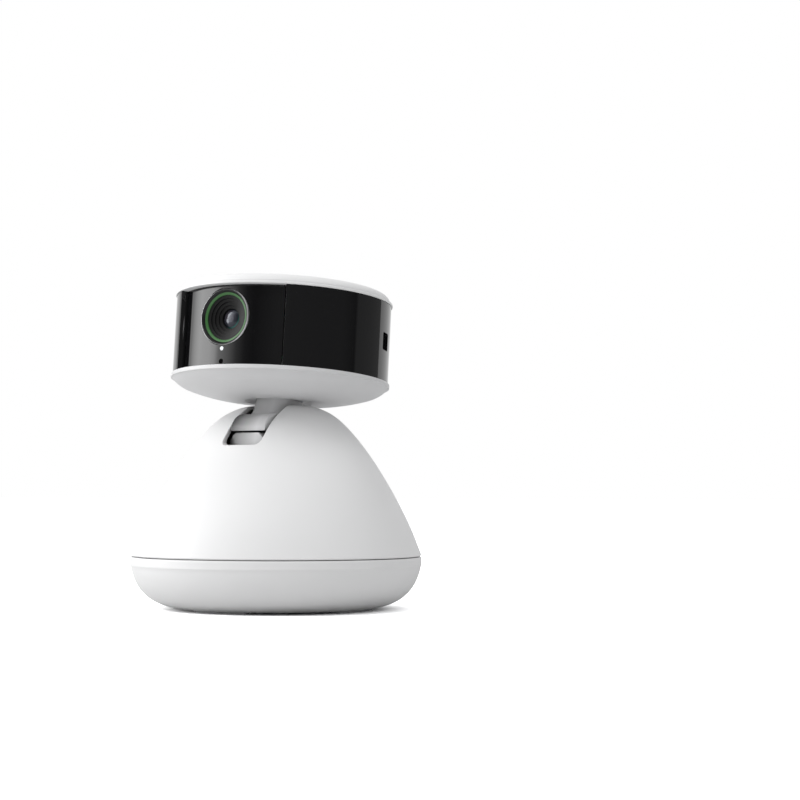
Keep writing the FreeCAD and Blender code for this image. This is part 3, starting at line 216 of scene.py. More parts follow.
studio = {
    "floor": (0.75, 0.75, 0.75), "floorGain": 3, "floorSize": 30,
    "worldFill": 0.56, "worldTint": (0.985, 0.99, 1.0),
    "lamps": [("keyLamp", (-0.3, -1.05, 1.3), (1.0, 1.0), 12.0),
              ("leftLamp", (-1.25, -0.55, 0.3), (0.9, 0.7), 6.6),
              ("topLamp", (0.1, 0.2, 1.5), (1.2, 1.2), 4.0)],
    "lampAim": (0, 0, 0.05),
    "cardRadius": 1.7, "cardLow": -0.2, "cardHigh": 1.6, "cardSteps": 360,
    "reflected": [(-112, 0.5), (-105, 0.75), (-100, 0.9), (-90, 1.35), (-83, 2.9), (-72, 5.2), (-55, 6.3),
                  (-47, 5.5), (-41, 3.0), (-28, 1.8), (-18, 0.6), (-8, 0.16), (2, 0.07), (30, 0.24),
                  (100, 0.2), (117, 0.1), (120, 0.3), (160, 0.24)],
}


def newMaterial(name):
    material = bpy.data.materials.new(name)
    material.use_nodes = True
    tree = material.node_tree
    tree.nodes.clear()
    return material, tree, tree.nodes.new("ShaderNodeOutputMaterial")


# A flat sheet facing a point, one quad, for the floor.
def sheetFacing(name, centre, target, width, height, material):
    half = np.array([[-width, -height, 0], [width, -height, 0], [width, height, 0], [-width, height, 0]]) / 2
    mesh = bpy.data.meshes.new(name)
    mesh.from_pydata(half.tolist(), [], [(0, 1, 2, 3)])
    sheet = bpy.data.objects.new(name, mesh)
    bpy.context.scene.collection.objects.link(sheet)
    sheet.matrix_world = Matrix.Translation(centre) @ (
        Vector(target) - Vector(centre)).to_track_quat("Z", "Y").to_matrix().to_4x4()
    mesh.materials.append(material)


# The camera sees the floor's own shading several times over, so that it is white up to the shadow.
def buildFloor():
    material, tree, out = newMaterial("paleFloor")
    board = tree.nodes.new("ShaderNodeBsdfDiffuse")
    board.inputs["Color"].default_value = (*studio["floor"], 1)
    shown = board.outputs[0]
    for _ in range(studio["floorGain"] - 1):
        both = tree.nodes.new("ShaderNodeAddShader")
        wire(tree, board.outputs[0], both.inputs[0])
        wire(tree, shown, both.inputs[1])
        shown = both.outputs[0]
    pick = tree.nodes.new("ShaderNodeMixShader")
    path = tree.nodes.new("ShaderNodeLightPath")
    wire(tree, path.outputs["Is Camera Ray"], pick.inputs["Fac"])
    wire(tree, board.outputs[0], pick.inputs[1])
    wire(tree, shown, pick.inputs[2])
    wire(tree, pick.outputs[0], out.inputs["Surface"])
    sheetFacing("floor", (0, 0, 0), (0, 0, 1), studio["floorSize"], studio["floorSize"], material)


def buildWorld():
    world = bpy.data.worlds.new("studio")
    bpy.context.scene.world = world
    world.use_nodes = True
    tree = world.node_tree
    tree.nodes.clear()
    out = tree.nodes.new("ShaderNodeOutputWorld")
    fill, white = tree.nodes.new("ShaderNodeBackground"), tree.nodes.new("ShaderNodeBackground")
    fill.inputs["Strength"].default_value = studio["worldFill"]
    white.inputs["Color"].default_value = (1, 1, 1, 1)
    fill.inputs["Color"].default_value = (*studio["worldTint"], 1)
    path = tree.nodes.new("ShaderNodeLightPath")
    seen = [path.outputs[k] for k in ("Is Camera Ray", "Is Glossy Ray", "Is Transmission Ray")]
    for other in seen[1:]:
        larger = tree.nodes.new("ShaderNodeMath")
        larger.operation = "MAXIMUM"
        wire(tree, seen[0], larger.inputs[0])
        wire(tree, other, larger.inputs[1])
        seen[0] = larger.outputs[0]
    mix = tree.nodes.new("ShaderNodeMixShader")
    wire(tree, seen[0], mix.inputs["Fac"])
    wire(tree, fill.outputs[0], mix.inputs[1])
    wire(tree, white.outputs[0], mix.inputs[2])
    wire(tree, mix.outputs[0], out.inputs["Surface"])


# A lamp lights the set but is seen neither by the camera nor in reflections.
def areaLamp(name, centre, target, size, power):
    light = bpy.data.lights.new(name, "AREA")
    light.shape, light.size, light.size_y, light.energy = "RECTANGLE", size[0], size[1], power
    lamp = bpy.data.objects.new(name, light)
    bpy.context.scene.collection.objects.link(lamp)
    lamp.matrix_world = Matrix.Translation(centre) @ (
        Vector(target) - Vector(centre)).to_track_quat("-Z", "Y").to_matrix().to_4x4()
    lamp.visible_camera = False
    lamp.visible_glossy = False


# A curved card round the set, part of an upright drum: (R sin a, -R cos a, z). It is seen only in
# reflections. Its brightness follows the studio's short list of (angle, brightness).
def reflectionCard(name):
    steps, radius = studio["cardSteps"], studio["cardRadius"]
    given = np.array(studio["reflected"])
    angle = np.linspace(given[0, 0], given[-1, 0], steps)
    glow = np.interp(angle, given[:, 0], given[:, 1])
    turn = np.radians(angle)
    x, y = np.tile(radius * np.sin(turn), 2), np.tile(-radius * np.cos(turn), 2)
    points = np.stack([x, y, np.repeat([studio["cardLow"], studio["cardHigh"]], steps)], -1)
    mesh = bpy.data.meshes.new(name)
    mesh.from_pydata(points.tolist(), [], gridQuads(2, steps, False, False).tolist())
    shade = mesh.attributes.new("glowShare", "FLOAT", "POINT")
    shade.data.foreach_set("value", np.tile(glow, 2).astype(np.float32))
    material, tree, out = newMaterial(name)
    light = tree.nodes.new("ShaderNodeEmission")
    read = tree.nodes.new("ShaderNodeAttribute")
    read.attribute_name = "glowShare"
    wire(tree, read.outputs["Fac"], light.inputs["Strength"])
    wire(tree, light.outputs[0], out.inputs["Surface"])
    mesh.materials.append(material)
    card = bpy.data.objects.new(name, mesh)
    bpy.context.scene.collection.objects.link(card)
    for way in ("camera", "diffuse", "shadow", "transmission", "volume_scatter"):
        setattr(card, "visible_" + way, False)


buildFloor()
buildWorld()
for lampName, place, size, power in studio["lamps"]:
    areaLamp(lampName, place, studio["lampAim"], size, power)
reflectionCard("studioSides")
print("camera, floor and light are set")


# ---- finishes ----

def newGroup(name, inputs, outputs):
    group = bpy.data.node_groups.new(name, "ShaderNodeTree")
    for label, kind, value in inputs:
        socket = group.interface.new_socket(label, in_out="INPUT", socket_type=kind)
        socket.default_value = value
    for label, kind in outputs:
        group.interface.new_socket(label, in_out="OUTPUT", socket_type=kind)
    return group, group.nodes.new("NodeGroupInput"), group.nodes.new("NodeGroupOutput")


# A socket takes a plain number, or a wire from another node.
def feed(tree, value, socket):
    if isinstance(value, (int, float)):
        socket.default_value = value
    else:
        wire(tree, value, socket)


def noise(tree, place, scale, detail=2.0, roughness=0.5):
    made = tree.nodes.new("ShaderNodeTexNoise")
    made.inputs["Detail"].default_value = detail
    made.inputs["Roughness"].default_value = roughness
    wire(tree, place, made.inputs["Vector"])
    feed(tree, scale, made.inputs["Scale"])
    return made.outputs["Fac"]


def math2(tree, what, a, b):
    made = tree.nodes.new("ShaderNodeMath")
    made.operation = what
    for socket, value in zip(made.inputs, (a, b)):
        feed(tree, value, socket)
    return made.outputs[0]


def ramp(tree, value, low, high, outLow, outHigh):
    made = tree.nodes.new("ShaderNodeMapRange")
    for label, level in (("From Min", low), ("From Max", high), ("To Min", outLow), ("To Max", outHigh)):
        made.inputs[label].default_value = level
    wire(tree, value, made.inputs["Value"])
    return made.outputs["Result"]


# Moulded skin: fine spark-eroded texture as a height, a slow drift of tone, and a sheen that varies.
def buildMouldedSkin():
    group, given, out = newGroup("mouldedSkin", [
        ("Grain", "NodeSocketFloat", 4200.0), ("Drift", "NodeSocketFloat", 0.02),
        ("Roughness", "NodeSocketFloat", 0.5), ("Unevenness", "NodeSocketFloat", 0.05)], [
        ("Height", "NodeSocketFloat"), ("Tone", "NodeSocketFloat"), ("Sheen", "NodeSocketFloat")])
    place = group.nodes.new("ShaderNodeTexCoord").outputs["Object"]
    fine = noise(group, place, given.outputs["Grain"], 3.0)
    slow = noise(group, place, 45.0, 2.0)
    wire(group, fine, out.inputs["Height"])
    drift = math2(group, "MULTIPLY", math2(group, "SUBTRACT", slow, 0.5), given.outputs["Drift"])
    wire(group, math2(group, "ADD", drift, 1.0), out.inputs["Tone"])
    patches = noise(group, place, 130.0, 4.0, 0.6)
    uneven = math2(group, "MULTIPLY", math2(group, "SUBTRACT", patches, 0.5), given.outputs["Unevenness"])
    wire(group, math2(group, "ADD", given.outputs["Roughness"], uneven), out.inputs["Sheen"])
    return group


# Handling marks on gloss: faint smears stretched sideways and a sparse dust of tiny specks.
def buildHandlingMarks():
    group, given, out = newGroup("handlingMarks", [
        ("Smear", "NodeSocketFloat", 0.04), ("Dust", "NodeSocketFloat", 0.3)], [
        ("Roughness", "NodeSocketFloat"), ("Specks", "NodeSocketFloat")])
    place = group.nodes.new("ShaderNodeTexCoord").outputs["Object"]
    stretch = group.nodes.new("ShaderNodeMapping")
    stretch.inputs["Scale"].default_value = (1.0, 1.0, 2.6)
    wire(group, place, stretch.inputs["Vector"])
    smear = noise(group, stretch.outputs[0], 60.0, 5.0, 0.62)
    wire(group, math2(group, "MULTIPLY", ramp(group, smear, 0.42, 0.75, 0.0, 1.0), given.outputs["Smear"]),
         out.inputs["Roughness"])
    dots = group.nodes.new("ShaderNodeTexVoronoi")
    dots.inputs["Scale"].default_value = 900.0
    wire(group, place, dots.inputs["Vector"])
    sparse = ramp(group, noise(group, place, 300.0, 1.0), 0.6, 0.66, 0.0, 1.0)
    speck = math2(group, "MULTIPLY", ramp(group, dots.outputs["Distance"], 0.08, 0.12, 1.0, 0.0), sparse)
    wire(group, math2(group, "MULTIPLY", speck, given.outputs["Dust"]), out.inputs["Specks"])
    return group


# Drawn metal: fine brushed lines, a height and a roughness from noise drawn out along one way.
def buildDrawnMetal():
    group, given, out = newGroup("drawnMetal", [
        ("Lines", "NodeSocketFloat", 900.0), ("Roughness", "NodeSocketFloat", 0.35)], [
        ("Height", "NodeSocketFloat"), ("Roughness", "NodeSocketFloat"), ("Tone", "NodeSocketFloat")])
    place = group.nodes.new("ShaderNodeTexCoord").outputs["Object"]
    stretch = group.nodes.new("ShaderNodeMapping")
    stretch.inputs["Scale"].default_value = (1.0, 1.0, 0.06)
    wire(group, place, stretch.inputs["Vector"])
    lines = noise(group, stretch.outputs[0], given.outputs["Lines"], 3.0)
    wire(group, lines, out.inputs["Height"])
    rough = math2(group, "MULTIPLY", math2(group, "SUBTRACT", lines, 0.5), 0.25)
    wire(group, math2(group, "ADD", given.outputs["Roughness"], rough), out.inputs["Roughness"])
    wire(group, ramp(group, noise(group, place, 250.0, 3.0), 0.3, 0.7, 0.92, 1.06), out.inputs["Tone"])
    return group


skinGroup, markGroup, metalGroup = buildMouldedSkin(), buildHandlingMarks(), buildDrawnMetal()


# A material whose one shader is wired to its output.
def shaded(name):
    material, tree, out = newMaterial(name)
    shader = tree.nodes.new("ShaderNodeBsdfPrincipled")
    wire(tree, shader.outputs[0], out.inputs["Surface"])
    return material, tree, shader


def placeGroup(tree, group, **values):
    made = tree.nodes.new("ShaderNodeGroup")
    made.node_tree = group
    for label, value in values.items():
        made.inputs[label].default_value = value
    return made


def tinted(tree, colour, tone):
    mix = tree.nodes.new("ShaderNodeMix")
    mix.data_type, mix.blend_type = "RGBA", "MULTIPLY"
    mix.inputs["Factor"].default_value = 1.0
    mix.inputs["A"].default_value = (*colour, 1)
    wire(tree, tone, mix.inputs["B"])
    return mix.outputs["Result"]


def bumped(tree, shader, height, distance):
    bump = tree.nodes.new("ShaderNodeBump")
    bump.inputs["Distance"].default_value = distance
    bump.inputs["Strength"].default_value = 1.0
    wire(tree, height, bump.inputs["Height"])
    wire(tree, bump.outputs[0], shader.inputs["Normal"])


# A shade of (low, high, least) is painted shade: it darkens the plastic towards low along X, down to the least
# share, in place of a cast shadow.
def mouldedPlastic(name, colour, roughness=0.5, grain=4200.0, depth=0.000006, drift=0.02, ior=1.46,
                   shade=None):
    material, tree, shader = shaded(name)
    skin = placeGroup(tree, skinGroup, Grain=grain, Drift=drift, Roughness=roughness, Unevenness=0.06)
    base = tinted(tree, colour, skin.outputs["Tone"])
    # Painted shade: the colour is scaled down towards low along X.
    if shade:
        across = tree.nodes.new("ShaderNodeSeparateXYZ")
        wire(tree, tree.nodes.new("ShaderNodeTexCoord").outputs["Object"], across.inputs[0])
        paintedShade = tree.nodes.new("ShaderNodeVectorMath")
        paintedShade.operation = "SCALE"
        wire(tree, base, paintedShade.inputs[0])
        wire(tree, ramp(tree, across.outputs["X"], shade[0], shade[1], shade[2], 1.0), paintedShade.inputs["Scale"])
        base = paintedShade.outputs[0]
    wire(tree, base, shader.inputs["Base Color"])
    wire(tree, skin.outputs["Sheen"], shader.inputs["Roughness"])
    shader.inputs["IOR"].default_value = ior
    bumped(tree, shader, skin.outputs["Height"], depth)
    return material


def glossPlastic(name, colour, roughness=0.03, smear=0.02, ior=1.45):
    material, tree, shader = shaded(name)
    marks = placeGroup(tree, markGroup, Smear=smear, Dust=0.05)
    wire(tree, math2(tree, "ADD", marks.outputs["Roughness"], roughness), shader.inputs["Roughness"])
    mix = tree.nodes.new("ShaderNodeMix")
    mix.data_type = "RGBA"
    mix.inputs["A"].default_value = (*colour, 1)
    mix.inputs["B"].default_value = (0.45, 0.45, 0.44, 1)
    wire(tree, marks.outputs["Specks"], mix.inputs["Factor"])
    wire(tree, mix.outputs["Result"], shader.inputs["Base Color"])
    shader.inputs["IOR"].default_value = ior
    return material


def drawnMetal(name, colour, roughness=0.35, lines=900.0):
    material, tree, shader = shaded(name)
    shader.inputs["Metallic"].default_value = 1.0
    metal = placeGroup(tree, metalGroup, Lines=lines, Roughness=roughness)
    wire(tree, tinted(tree, colour, metal.outputs["Tone"]), shader.inputs["Base Color"])
    wire(tree, metal.outputs["Roughness"], shader.inputs["Roughness"])
    bumped(tree, shader, metal.outputs["Height"], 0.00001)
    return material


# Solder mask: paler lines of copper under green, from a brick pattern bent by a little noise.
def circuitBoard():
    material, tree, shader = shaded("circuitBoard")
    place = tree.nodes.new("ShaderNodeTexCoord").outputs["Object"]
    tracks = tree.nodes.new("ShaderNodeTexBrick")
    tracks.inputs["Scale"].default_value = 260.0
    tracks.inputs["Mortar Size"].default_value = 0.03
    tracks.inputs["Color1"].default_value = (0.03, 0.2, 0.08, 1)
    tracks.inputs["Color2"].default_value = (0.035, 0.23, 0.1, 1)
    tracks.inputs["Mortar"].default_value = (0.09, 0.36, 0.14, 1)
    wire(tree, place, tracks.inputs["Vector"])
    wire(tree, tracks.outputs["Color"], shader.inputs["Base Color"])
    wire(tree, ramp(tree, noise(tree, place, 400.0), 0.3, 0.7, 0.28, 0.42), shader.inputs["Roughness"])
    bumped(tree, shader, tracks.outputs["Fac"], 0.00003)
    return material


def distanceFrom(tree, centre):
    shift = tree.nodes.new("ShaderNodeVectorMath")
    shift.operation = "DISTANCE"
    wire(tree, tree.nodes.new("ShaderNodeTexCoord").outputs["Object"], shift.inputs[0])
    shift.inputs[1].default_value = list(centre)
    return shift.outputs["Value"]


# The bezel is gloss black with a bright turned edge: everything beyond the radius is bare metal.
def rimmedBezel(centre, radius):
    material, tree, shader = shaded("rimmedBezel")
    mask = ramp(tree, distanceFrom(tree, centre), radius - 0.00004, radius, 0.0, 1.0)
    metal = placeGroup(tree, metalGroup, Lines=900.0, Roughness=0.45)
    mix = tree.nodes.new("ShaderNodeMix")
    mix.data_type = "RGBA"
    mix.inputs["A"].default_value = (0.004, 0.004, 0.0045, 1)
    wire(tree, tinted(tree, (0.7, 0.7, 0.71), metal.outputs["Tone"]), mix.inputs["B"])
    wire(tree, mask, mix.inputs["Factor"])
    wire(tree, mix.outputs["Result"], shader.inputs["Base Color"])
    wire(tree, mask, shader.inputs["Metallic"])
    wire(tree, metal.outputs["Roughness"], shader.inputs["Roughness"])
    return material


# Front element: dark glass with a painted reflection, paler grey about a point up and to the left of its
# middle, and a painted teal glint, a ring about that point.
def paintedReflectionGlass(centre, reach):
    material, tree, shader = shaded("paintedReflectionGlass")
    away = distanceFrom(tree, centre)
    # The ramp is painted reflection and glint: pale grey at the point, darker outwards, and a teal ring near
    # its reach.
    rings = tree.nodes.new("ShaderNodeValToRGB")
    rings.color_ramp.elements[0].color = (0.09, 0.08, 0.09, 1)
    rings.color_ramp.elements[1].color = (0.02, 0.03, 0.03, 1)
    for where, colour in ((0.25, (0.05, 0.045, 0.055, 1)), (0.5, (0.03, 0.03, 0.04, 1)),
                          (0.72, (0.015, 0.02, 0.025, 1)), (0.84, (0.02, 0.16, 0.13, 1))):
        rings.color_ramp.elements.new(where).color = colour
    wire(tree, ramp(tree, away, 0.0, reach, 0.0, 1.0), rings.inputs["Fac"])
    wire(tree, rings.outputs[0], shader.inputs["Base Color"])
    shader.inputs["Roughness"].default_value = 0.04
    shader.inputs["IOR"].default_value = 1.7
    shader.inputs["Specular Tint"].default_value = (0.5, 0.54, 0.6, 1)
    return material


finish = {
    "white": mouldedPlastic("whitePlastic", (0.80, 0.80, 0.80), 0.55, depth=0.000004),
    # The neck's grey carries painted shade, darker towards its left, standing in for the shadow of the slot's
    # left wall.
    "grey": mouldedPlastic("greyPlastic", (0.63, 0.63, 0.635), 0.55, depth=0.00001,
                           shade=(-0.0058, 0.0035, 0.07)),
    "gloss": glossPlastic("glossBlack", (0.004, 0.004, 0.0045)),
    "matt": mouldedPlastic("mattBlack", (0.01, 0.01, 0.01), 0.42, 3000.0, 0.00001, ior=1.22),
    # The bowl is the white plastic painted darker, as painted shade for the underside of the head.
    "bowl": mouldedPlastic("bowlWhitePaintedShade", (0.65, 0.65, 0.655), 0.5),
    "inner": mouldedPlastic("carrierPlastic", (0.62, 0.62, 0.6), 0.55, 2500.0, 0.00001),
    "gear": mouldedPlastic("acetal", (0.78, 0.76, 0.68), 0.38, 3000.0, 0.000006),
    "green": mouldedPlastic("greenTrim", (0.045, 0.15, 0.04), 0.3, 3500.0, 0.000004),
    "clear": glossPlastic("clearAcrylic", (0.9, 0.93, 0.95), 0.08, 0.03),
    "rubber": mouldedPlastic("footRubber", (0.42, 0.42, 0.43), 0.75, 2200.0, 0.00002, 0.08),
    "film": mouldedPlastic("antennaFilm", (0.5, 0.26, 0.05), 0.35, 2600.0, 0.000004, 0.15),
    "steel": drawnMetal("zincSteel", (0.6, 0.6, 0.61)),
    "iron": drawnMetal("ballastIron", (0.3, 0.3, 0.31), 0.55, 500.0),
    "aluminium": drawnMetal("sheetAluminium", (0.72, 0.73, 0.74), 0.3, 1200.0),
    "brass": drawnMetal("turnedBrass", (0.75, 0.58, 0.28), 0.25),
    "board": circuitBoard(),
}
print("finishes are made")


# ---- cone housing ----

cone = {
    "sections": [(17.4, 47.2, 0), (25.0, 44.2, 0.3), (34.0, 39.7, 2.2), (43.0, 34.3, 5.6), (51.0, 28.7, 8.3),
                 (57.0, 23.8, 8.6), (61.2, 19.5, 8.6), (64.2, 14.6, 8.2), (65.7, 10.2, 5.5), (66.0, 6.4, 3.4)],
    "wall": 1.3, "slotHalf": 7.5, "slotFloor": 52.8, "slotCorner": 2.0, "slotRear": 13.5,
    "slotLip": 0.3, "footLip": 0.4, "rails": 288,
    "grilleHeight": 35.0, "grillePitch": 2.6, "grilleHole": 0.7, "grilleTilt": 32.0, "grilleRings": 3,
    "grilleTwist": 15, "grilleIn": 6, "grilleOut": 4, "samples": 1400,
}


# A natural cubic spline through rows of values, by distance along them: the second derivatives m come
# from h m0 + 2 (h + k) m1 + k m2 = 6 (slope after - slope before), with none at the two ends.
def smoothThrough(rows, share):
    rows = np.asarray(rows, float)
    at = np.concatenate([[0], np.cumsum(np.linalg.norm(np.diff(rows, axis=0), axis=1))])
    gap = np.diff(at)
    inner = np.arange(1, len(rows) - 1)
    left = np.eye(len(rows))
    left[inner, inner - 1], left[inner, inner + 1] = gap[:-1], gap[1:]
    left[inner, inner] = 2 * (gap[:-1] + gap[1:])
    right = np.zeros_like(rows)
    right[1:-1] = 6 * np.diff(np.diff(rows, axis=0) / gap[:, None], axis=0)
    bend = np.linalg.solve(left, right)
    x = share * at[-1]
    k = np.clip(np.searchsorted(at, x, side="right") - 1, 0, len(gap) - 1)
    b = ((x - at[k]) / gap[k])[..., None]
    a = 1 - b
    return (a * rows[k] + b * rows[k + 1]
            + ((a ** 3 - a) * bend[k] + (b ** 3 - b) * bend[k + 1]) * (gap[k] ** 2)[..., None] / 6)


# The outline's height and its half widths along X and along Y at a share of the way up.
def coneOutline(share, inset=0.0):
    rows = [(z - 0.75 * inset, half + 0.325 * flat - 0.85 * inset, half - 0.675 * flat - 0.85 * inset)
            for z, half, flat in cone["sections"]]
    return smoothThrough(rows, share)


# A point of the cone is (a cos u, b sin u, z), where a, b and z come from the outline.
def conePoint(share, turn, inset=0.0):
    shape = coneOutline(share, inset)
    return np.stack([shape[..., 1] * np.cos(turn), shape[..., 2] * np.sin(turn), shape[..., 0]], -1)


def coneGrid(shares, turn, inset=0.0):
    return conePoint(shares[:, None] + 0 * turn, turn + 0 * shares[:, None], inset)


# Distance to the neck's slot, less than nothing inside it: a round-cornered opening in the XZ plane
# that runs back to a flat rear wall.
def slotDistance(points):
    x, y, z = np.abs(points[..., 0]), points[..., 1], points[..., 2]
    corner = cone["slotCorner"]
    side, down = x - cone["slotHalf"] + corner, cone["slotFloor"] + corner - z
    front = np.hypot(np.maximum(side, 0), np.maximum(down, 0)) + np.minimum(np.maximum(side, down), 0)
    return np.maximum(front - corner, y - cone["slotRear"])


# How far along each rail the distance first falls to a level, between two samples by proportion.
def firstShare(distance, shares, level):
    below = distance < level
    hit = np.argmax(below, axis=0)
    hit = np.where(below.any(axis=0), np.maximum(hit, 1), len(shares) - 1)
    column = np.arange(distance.shape[1])
    before, after = distance[hit - 1, column], distance[hit, column]
    part = np.clip((before - level) / np.maximum(before - after, 1e-9), 0, 1)
    return shares[hit - 1] + (shares[hit] - shares[hit - 1]) * part


# Each rail climbs one ellipse angle from the foot to the slot. Near the slot and the foot the surface
# sinks inwards by r - sqrt(r^2 - (r - d)^2), a quarter circle on the distance d, which rounds them.
def coneSkin():
    turn = np.linspace(0, 2 * np.pi, cone["rails"], endpoint=False)
    shares = np.linspace(0, 1, cone["samples"])
    distance = slotDistance(coneGrid(shares, turn))
    edge, near = firstShare(distance, shares, 0.0), firstShare(distance, shares, cone["slotLip"])
    rise = coneOutline(shares)[:, 0] - cone["sections"][0][0]
    foot = np.interp(cone["footLip"] * np.sin(np.linspace(0, np.pi / 2, 6)), rise, shares)
    climb = np.linspace(0, 1, 84)[1:, None]
    lip = np.sin(np.linspace(0, np.pi / 2, 9))[1:, None]
    share = np.vstack([foot[:, None] + 0 * turn, foot[-1] + (near - foot[-1]) * climb,
                       near + (edge - near) * lip])
    angle = turn + 0 * share
    points = conePoint(share, angle)
    step = 1e-4
    up = conePoint(share + step, angle) - conePoint(share - step, angle)
    across = conePoint(share, angle + step) - conePoint(share, angle - step)
    normal = np.cross(across, up)
    normal /= np.linalg.norm(normal, axis=-1, keepdims=True)
    sunk = 0
    for reach, away in ((cone["slotLip"], slotDistance(points)),
                        (cone["footLip"], points[..., 2] - cone["sections"][0][0])):
        short = np.clip(reach - away, 0, reach)
        sunk = sunk + reach - np.sqrt(reach ** 2 - short ** 2)
    outer = points - normal * sunk[..., None]
    last = firstShare(slotDistance(coneGrid(shares, turn, cone["wall"])), shares, 0.0)
    low = np.interp(cone["sections"][0][0] + 0.02, coneOutline(shares, cone["wall"])[:, 0], shares)
    share = last + (low - last) * np.linspace(0, 1, 46)[:, None]
    inner = conePoint(share, turn + 0 * share, cone["wall"])
    return np.concatenate([outer, inner])


def grilleTools():
    shares = np.linspace(0, 1, 400)
    shape = coneOutline(shares)
    rear = np.array([0, np.interp(cone["grilleHeight"], shape[:, 0], shape[:, 2]), cone["grilleHeight"]])
    lean = math.radians(cone["grilleTilt"])
    out, up = np.array([0, math.cos(lean), math.sin(lean)]), np.array([0, -math.sin(lean), math.cos(lean)])
    across = np.array([1.0, 0, 0])
    turn = np.linspace(0, 2 * np.pi, 20, endpoint=False)
    tools = []
    for ring in range(cone["grilleRings"]):
        for k in range(max(6 * ring, 1)):
            angle = math.radians(cone["grilleTwist"] * ring) + 2 * math.pi * k / max(6 * ring, 1)
            middle = rear + cone["grillePitch"] * ring * (math.cos(angle) * across + math.sin(angle) * up)
            circle = cone["grilleHole"] * (np.cos(turn)[:, None] * across + np.sin(turn)[:, None] * up)
            low, high = middle - cone["grilleIn"] * out, middle + cone["grilleOut"] * out
            rows = np.stack([low + 0 * circle, low + circle, high + circle, high + 0 * circle])
            tools.append(solidOf("grilleTool", rows, False))
    return tools


coneShell = solidOf("coneShell", coneSkin(), True, 50.0)
carve(coneShell, grilleTools(), crease=50.0)
standIn(coneShell, "turntable", "white_plastic", finish["white"], "housing")
print("cone housing is made")


# ---- base ring and feet ----

base = {
    "outline": [(34.2, 0.9, 0.35, 3.05), (47.0, 13.9, 0, 0), (47.2, 14.3, 0.25, 0), (47.2, 17.0, 0.55, 0),
                (45.0, 17.0, 0.2, 0), (45.0, 13.4, 0, 0), (43.1, 13.4, 0, 0), (43.1, 9.05, 0, -1.3),
                (33.3, 3.0, 0, 0), (31.3, 3.0, 0, 0), (31.3, 1.9, 0, 0), (33.1, 1.9, 0, 0),
                (33.1, 0.9, 0.1, 0)],
    "inletHeight": 9.05, "inletFace": 41.6, "recess": (12.6, 6.3), "recessOut": 60,
    "port": (9.2, 3.5), "portIn": 36, "portOut": 50, "collarHalf": 7.5,
    "collar": [(39.6, 4.65, 0, 0), (40.4, 4.65, 0, 0), (43.9, 11.0, 0, 0), (44.0, 13.3, 0, 0),
               (39.6, 13.3, 0, 0)],
}
feet = {"inner": 28.0, "outer": 32.4, "top": 1.2, "span": 36.0, "edge": 0.35, "steps": 22}


# A block between two YZ outlines is the same outline pushed along X.
def acrossX(shape, half, edge):
    grid = pushed(shape, -half, half, edge)
    return np.stack([grid[..., 2], grid[..., 0], grid[..., 1]], -1)


def alongY(shape, low, high, edge):
    grid = pushed(shape, low, high, edge)
    return np.stack([grid[..., 0], grid[..., 2], grid[..., 1]], -1)


baseRing = solidOf("baseRing", turned(outline(base["outline"]), 240))
collar = acrossX(outline(base["collar"]), base["collarHalf"], 0.2)
carve(baseRing, [solidOf("collar", collar, False)], "UNION")
recess = plate(*base["recess"], 1.0, (0, base["inletHeight"]))
port = plate(*base["port"], 1.6, (0, base["inletHeight"]))
carve(baseRing, [solidOf("recess", alongY(recess, base["inletFace"], base["recessOut"], 0.25), False),
                 solidOf("port", alongY(port, base["portIn"], base["portOut"], 0.1), False)])
standIn(baseRing, "base", "white_plastic", finish["white"], "base_shell")


# A foot's block, (r, z), is swept along its arc. Both ends close by drawing the block in to its middle.
def footPad(name, heading):
    block = outline([(feet["inner"], 0, feet["edge"], 0), (feet["outer"], 0, feet["edge"], 0),
                     (feet["outer"], feet["top"], 0.1, 0), (feet["inner"], feet["top"], 0.1, 0)])
    middle = block.mean(axis=0)
    turn = np.linspace(0, np.pi / 2, 6)
    narrow = 1 - 0.2 * (1 - np.sin(turn))
    scale = np.concatenate([[0], narrow, np.ones(feet["steps"]), narrow[::-1], [0]])
    ends = 0.8 * (1 - np.cos(turn))
    half = feet["span"] / 2
    along = np.linspace(-half + 1, half - 1, feet["steps"])
    angle = np.concatenate([[-half], -half + ends, along, half - ends[::-1], [half]])
    angle = np.radians(angle + heading)[:, None]
    shape = middle + (block[None] - middle) * scale[:, None, None]
    grid = np.stack([shape[..., 0] * np.cos(angle), shape[..., 0] * np.sin(angle), shape[..., 1]], -1)
    return solidOf(name, grid, False)


for side, heading in (("right", 0), ("rear", 90), ("left", 180), ("front", 270)):
    standIn(footPad("footPad" + side.title(), heading), "base", "rubber", finish["rubber"], "foot_" + side)
print("base ring and feet are made")


# ---- neck ----

neck = {
    "half": 6.7, "edge": 0.55,
    "knuckle": [(-17.3, 0.9, 0.05, 0), (-9.4, 1.6, 0.3, 0), (10.8, 1.6, 0.4, 1.1), (7.8, 7.2, 0.6, 0),
                (-10.4, 7.2, 1.6, 1.7)],
    "nose": [(-16.9, 0.35, 0.5, 0), (-17.8, -4.7, 0.6, 1.3), (-6.0, -8.0, 0.6, 1.0), (6.0, -7.4, 0.5, 1.15),
             (9.5, 1.0, 0.3, 0), (-9.2, 1.0, 0.3, 0)],
    "noseRound": 5.0, "noseTop": 1.0, "front": -17.8, "planRound": 1.2,
    "columnAcross": 6.5, "columnAlong": 9.6, "columnTop": 12.6, "spigot": 4.95, "spigotTop": 16.4,
    "columnLevels": [4.0, 4.0, 5.6, 6.4, 7.2, 8.0, 9.5, 11.0],
    "columnFlare": [0, 4.4, 4.0, 3.4, 2.6, 1.8, 0.7, 0.2],
}


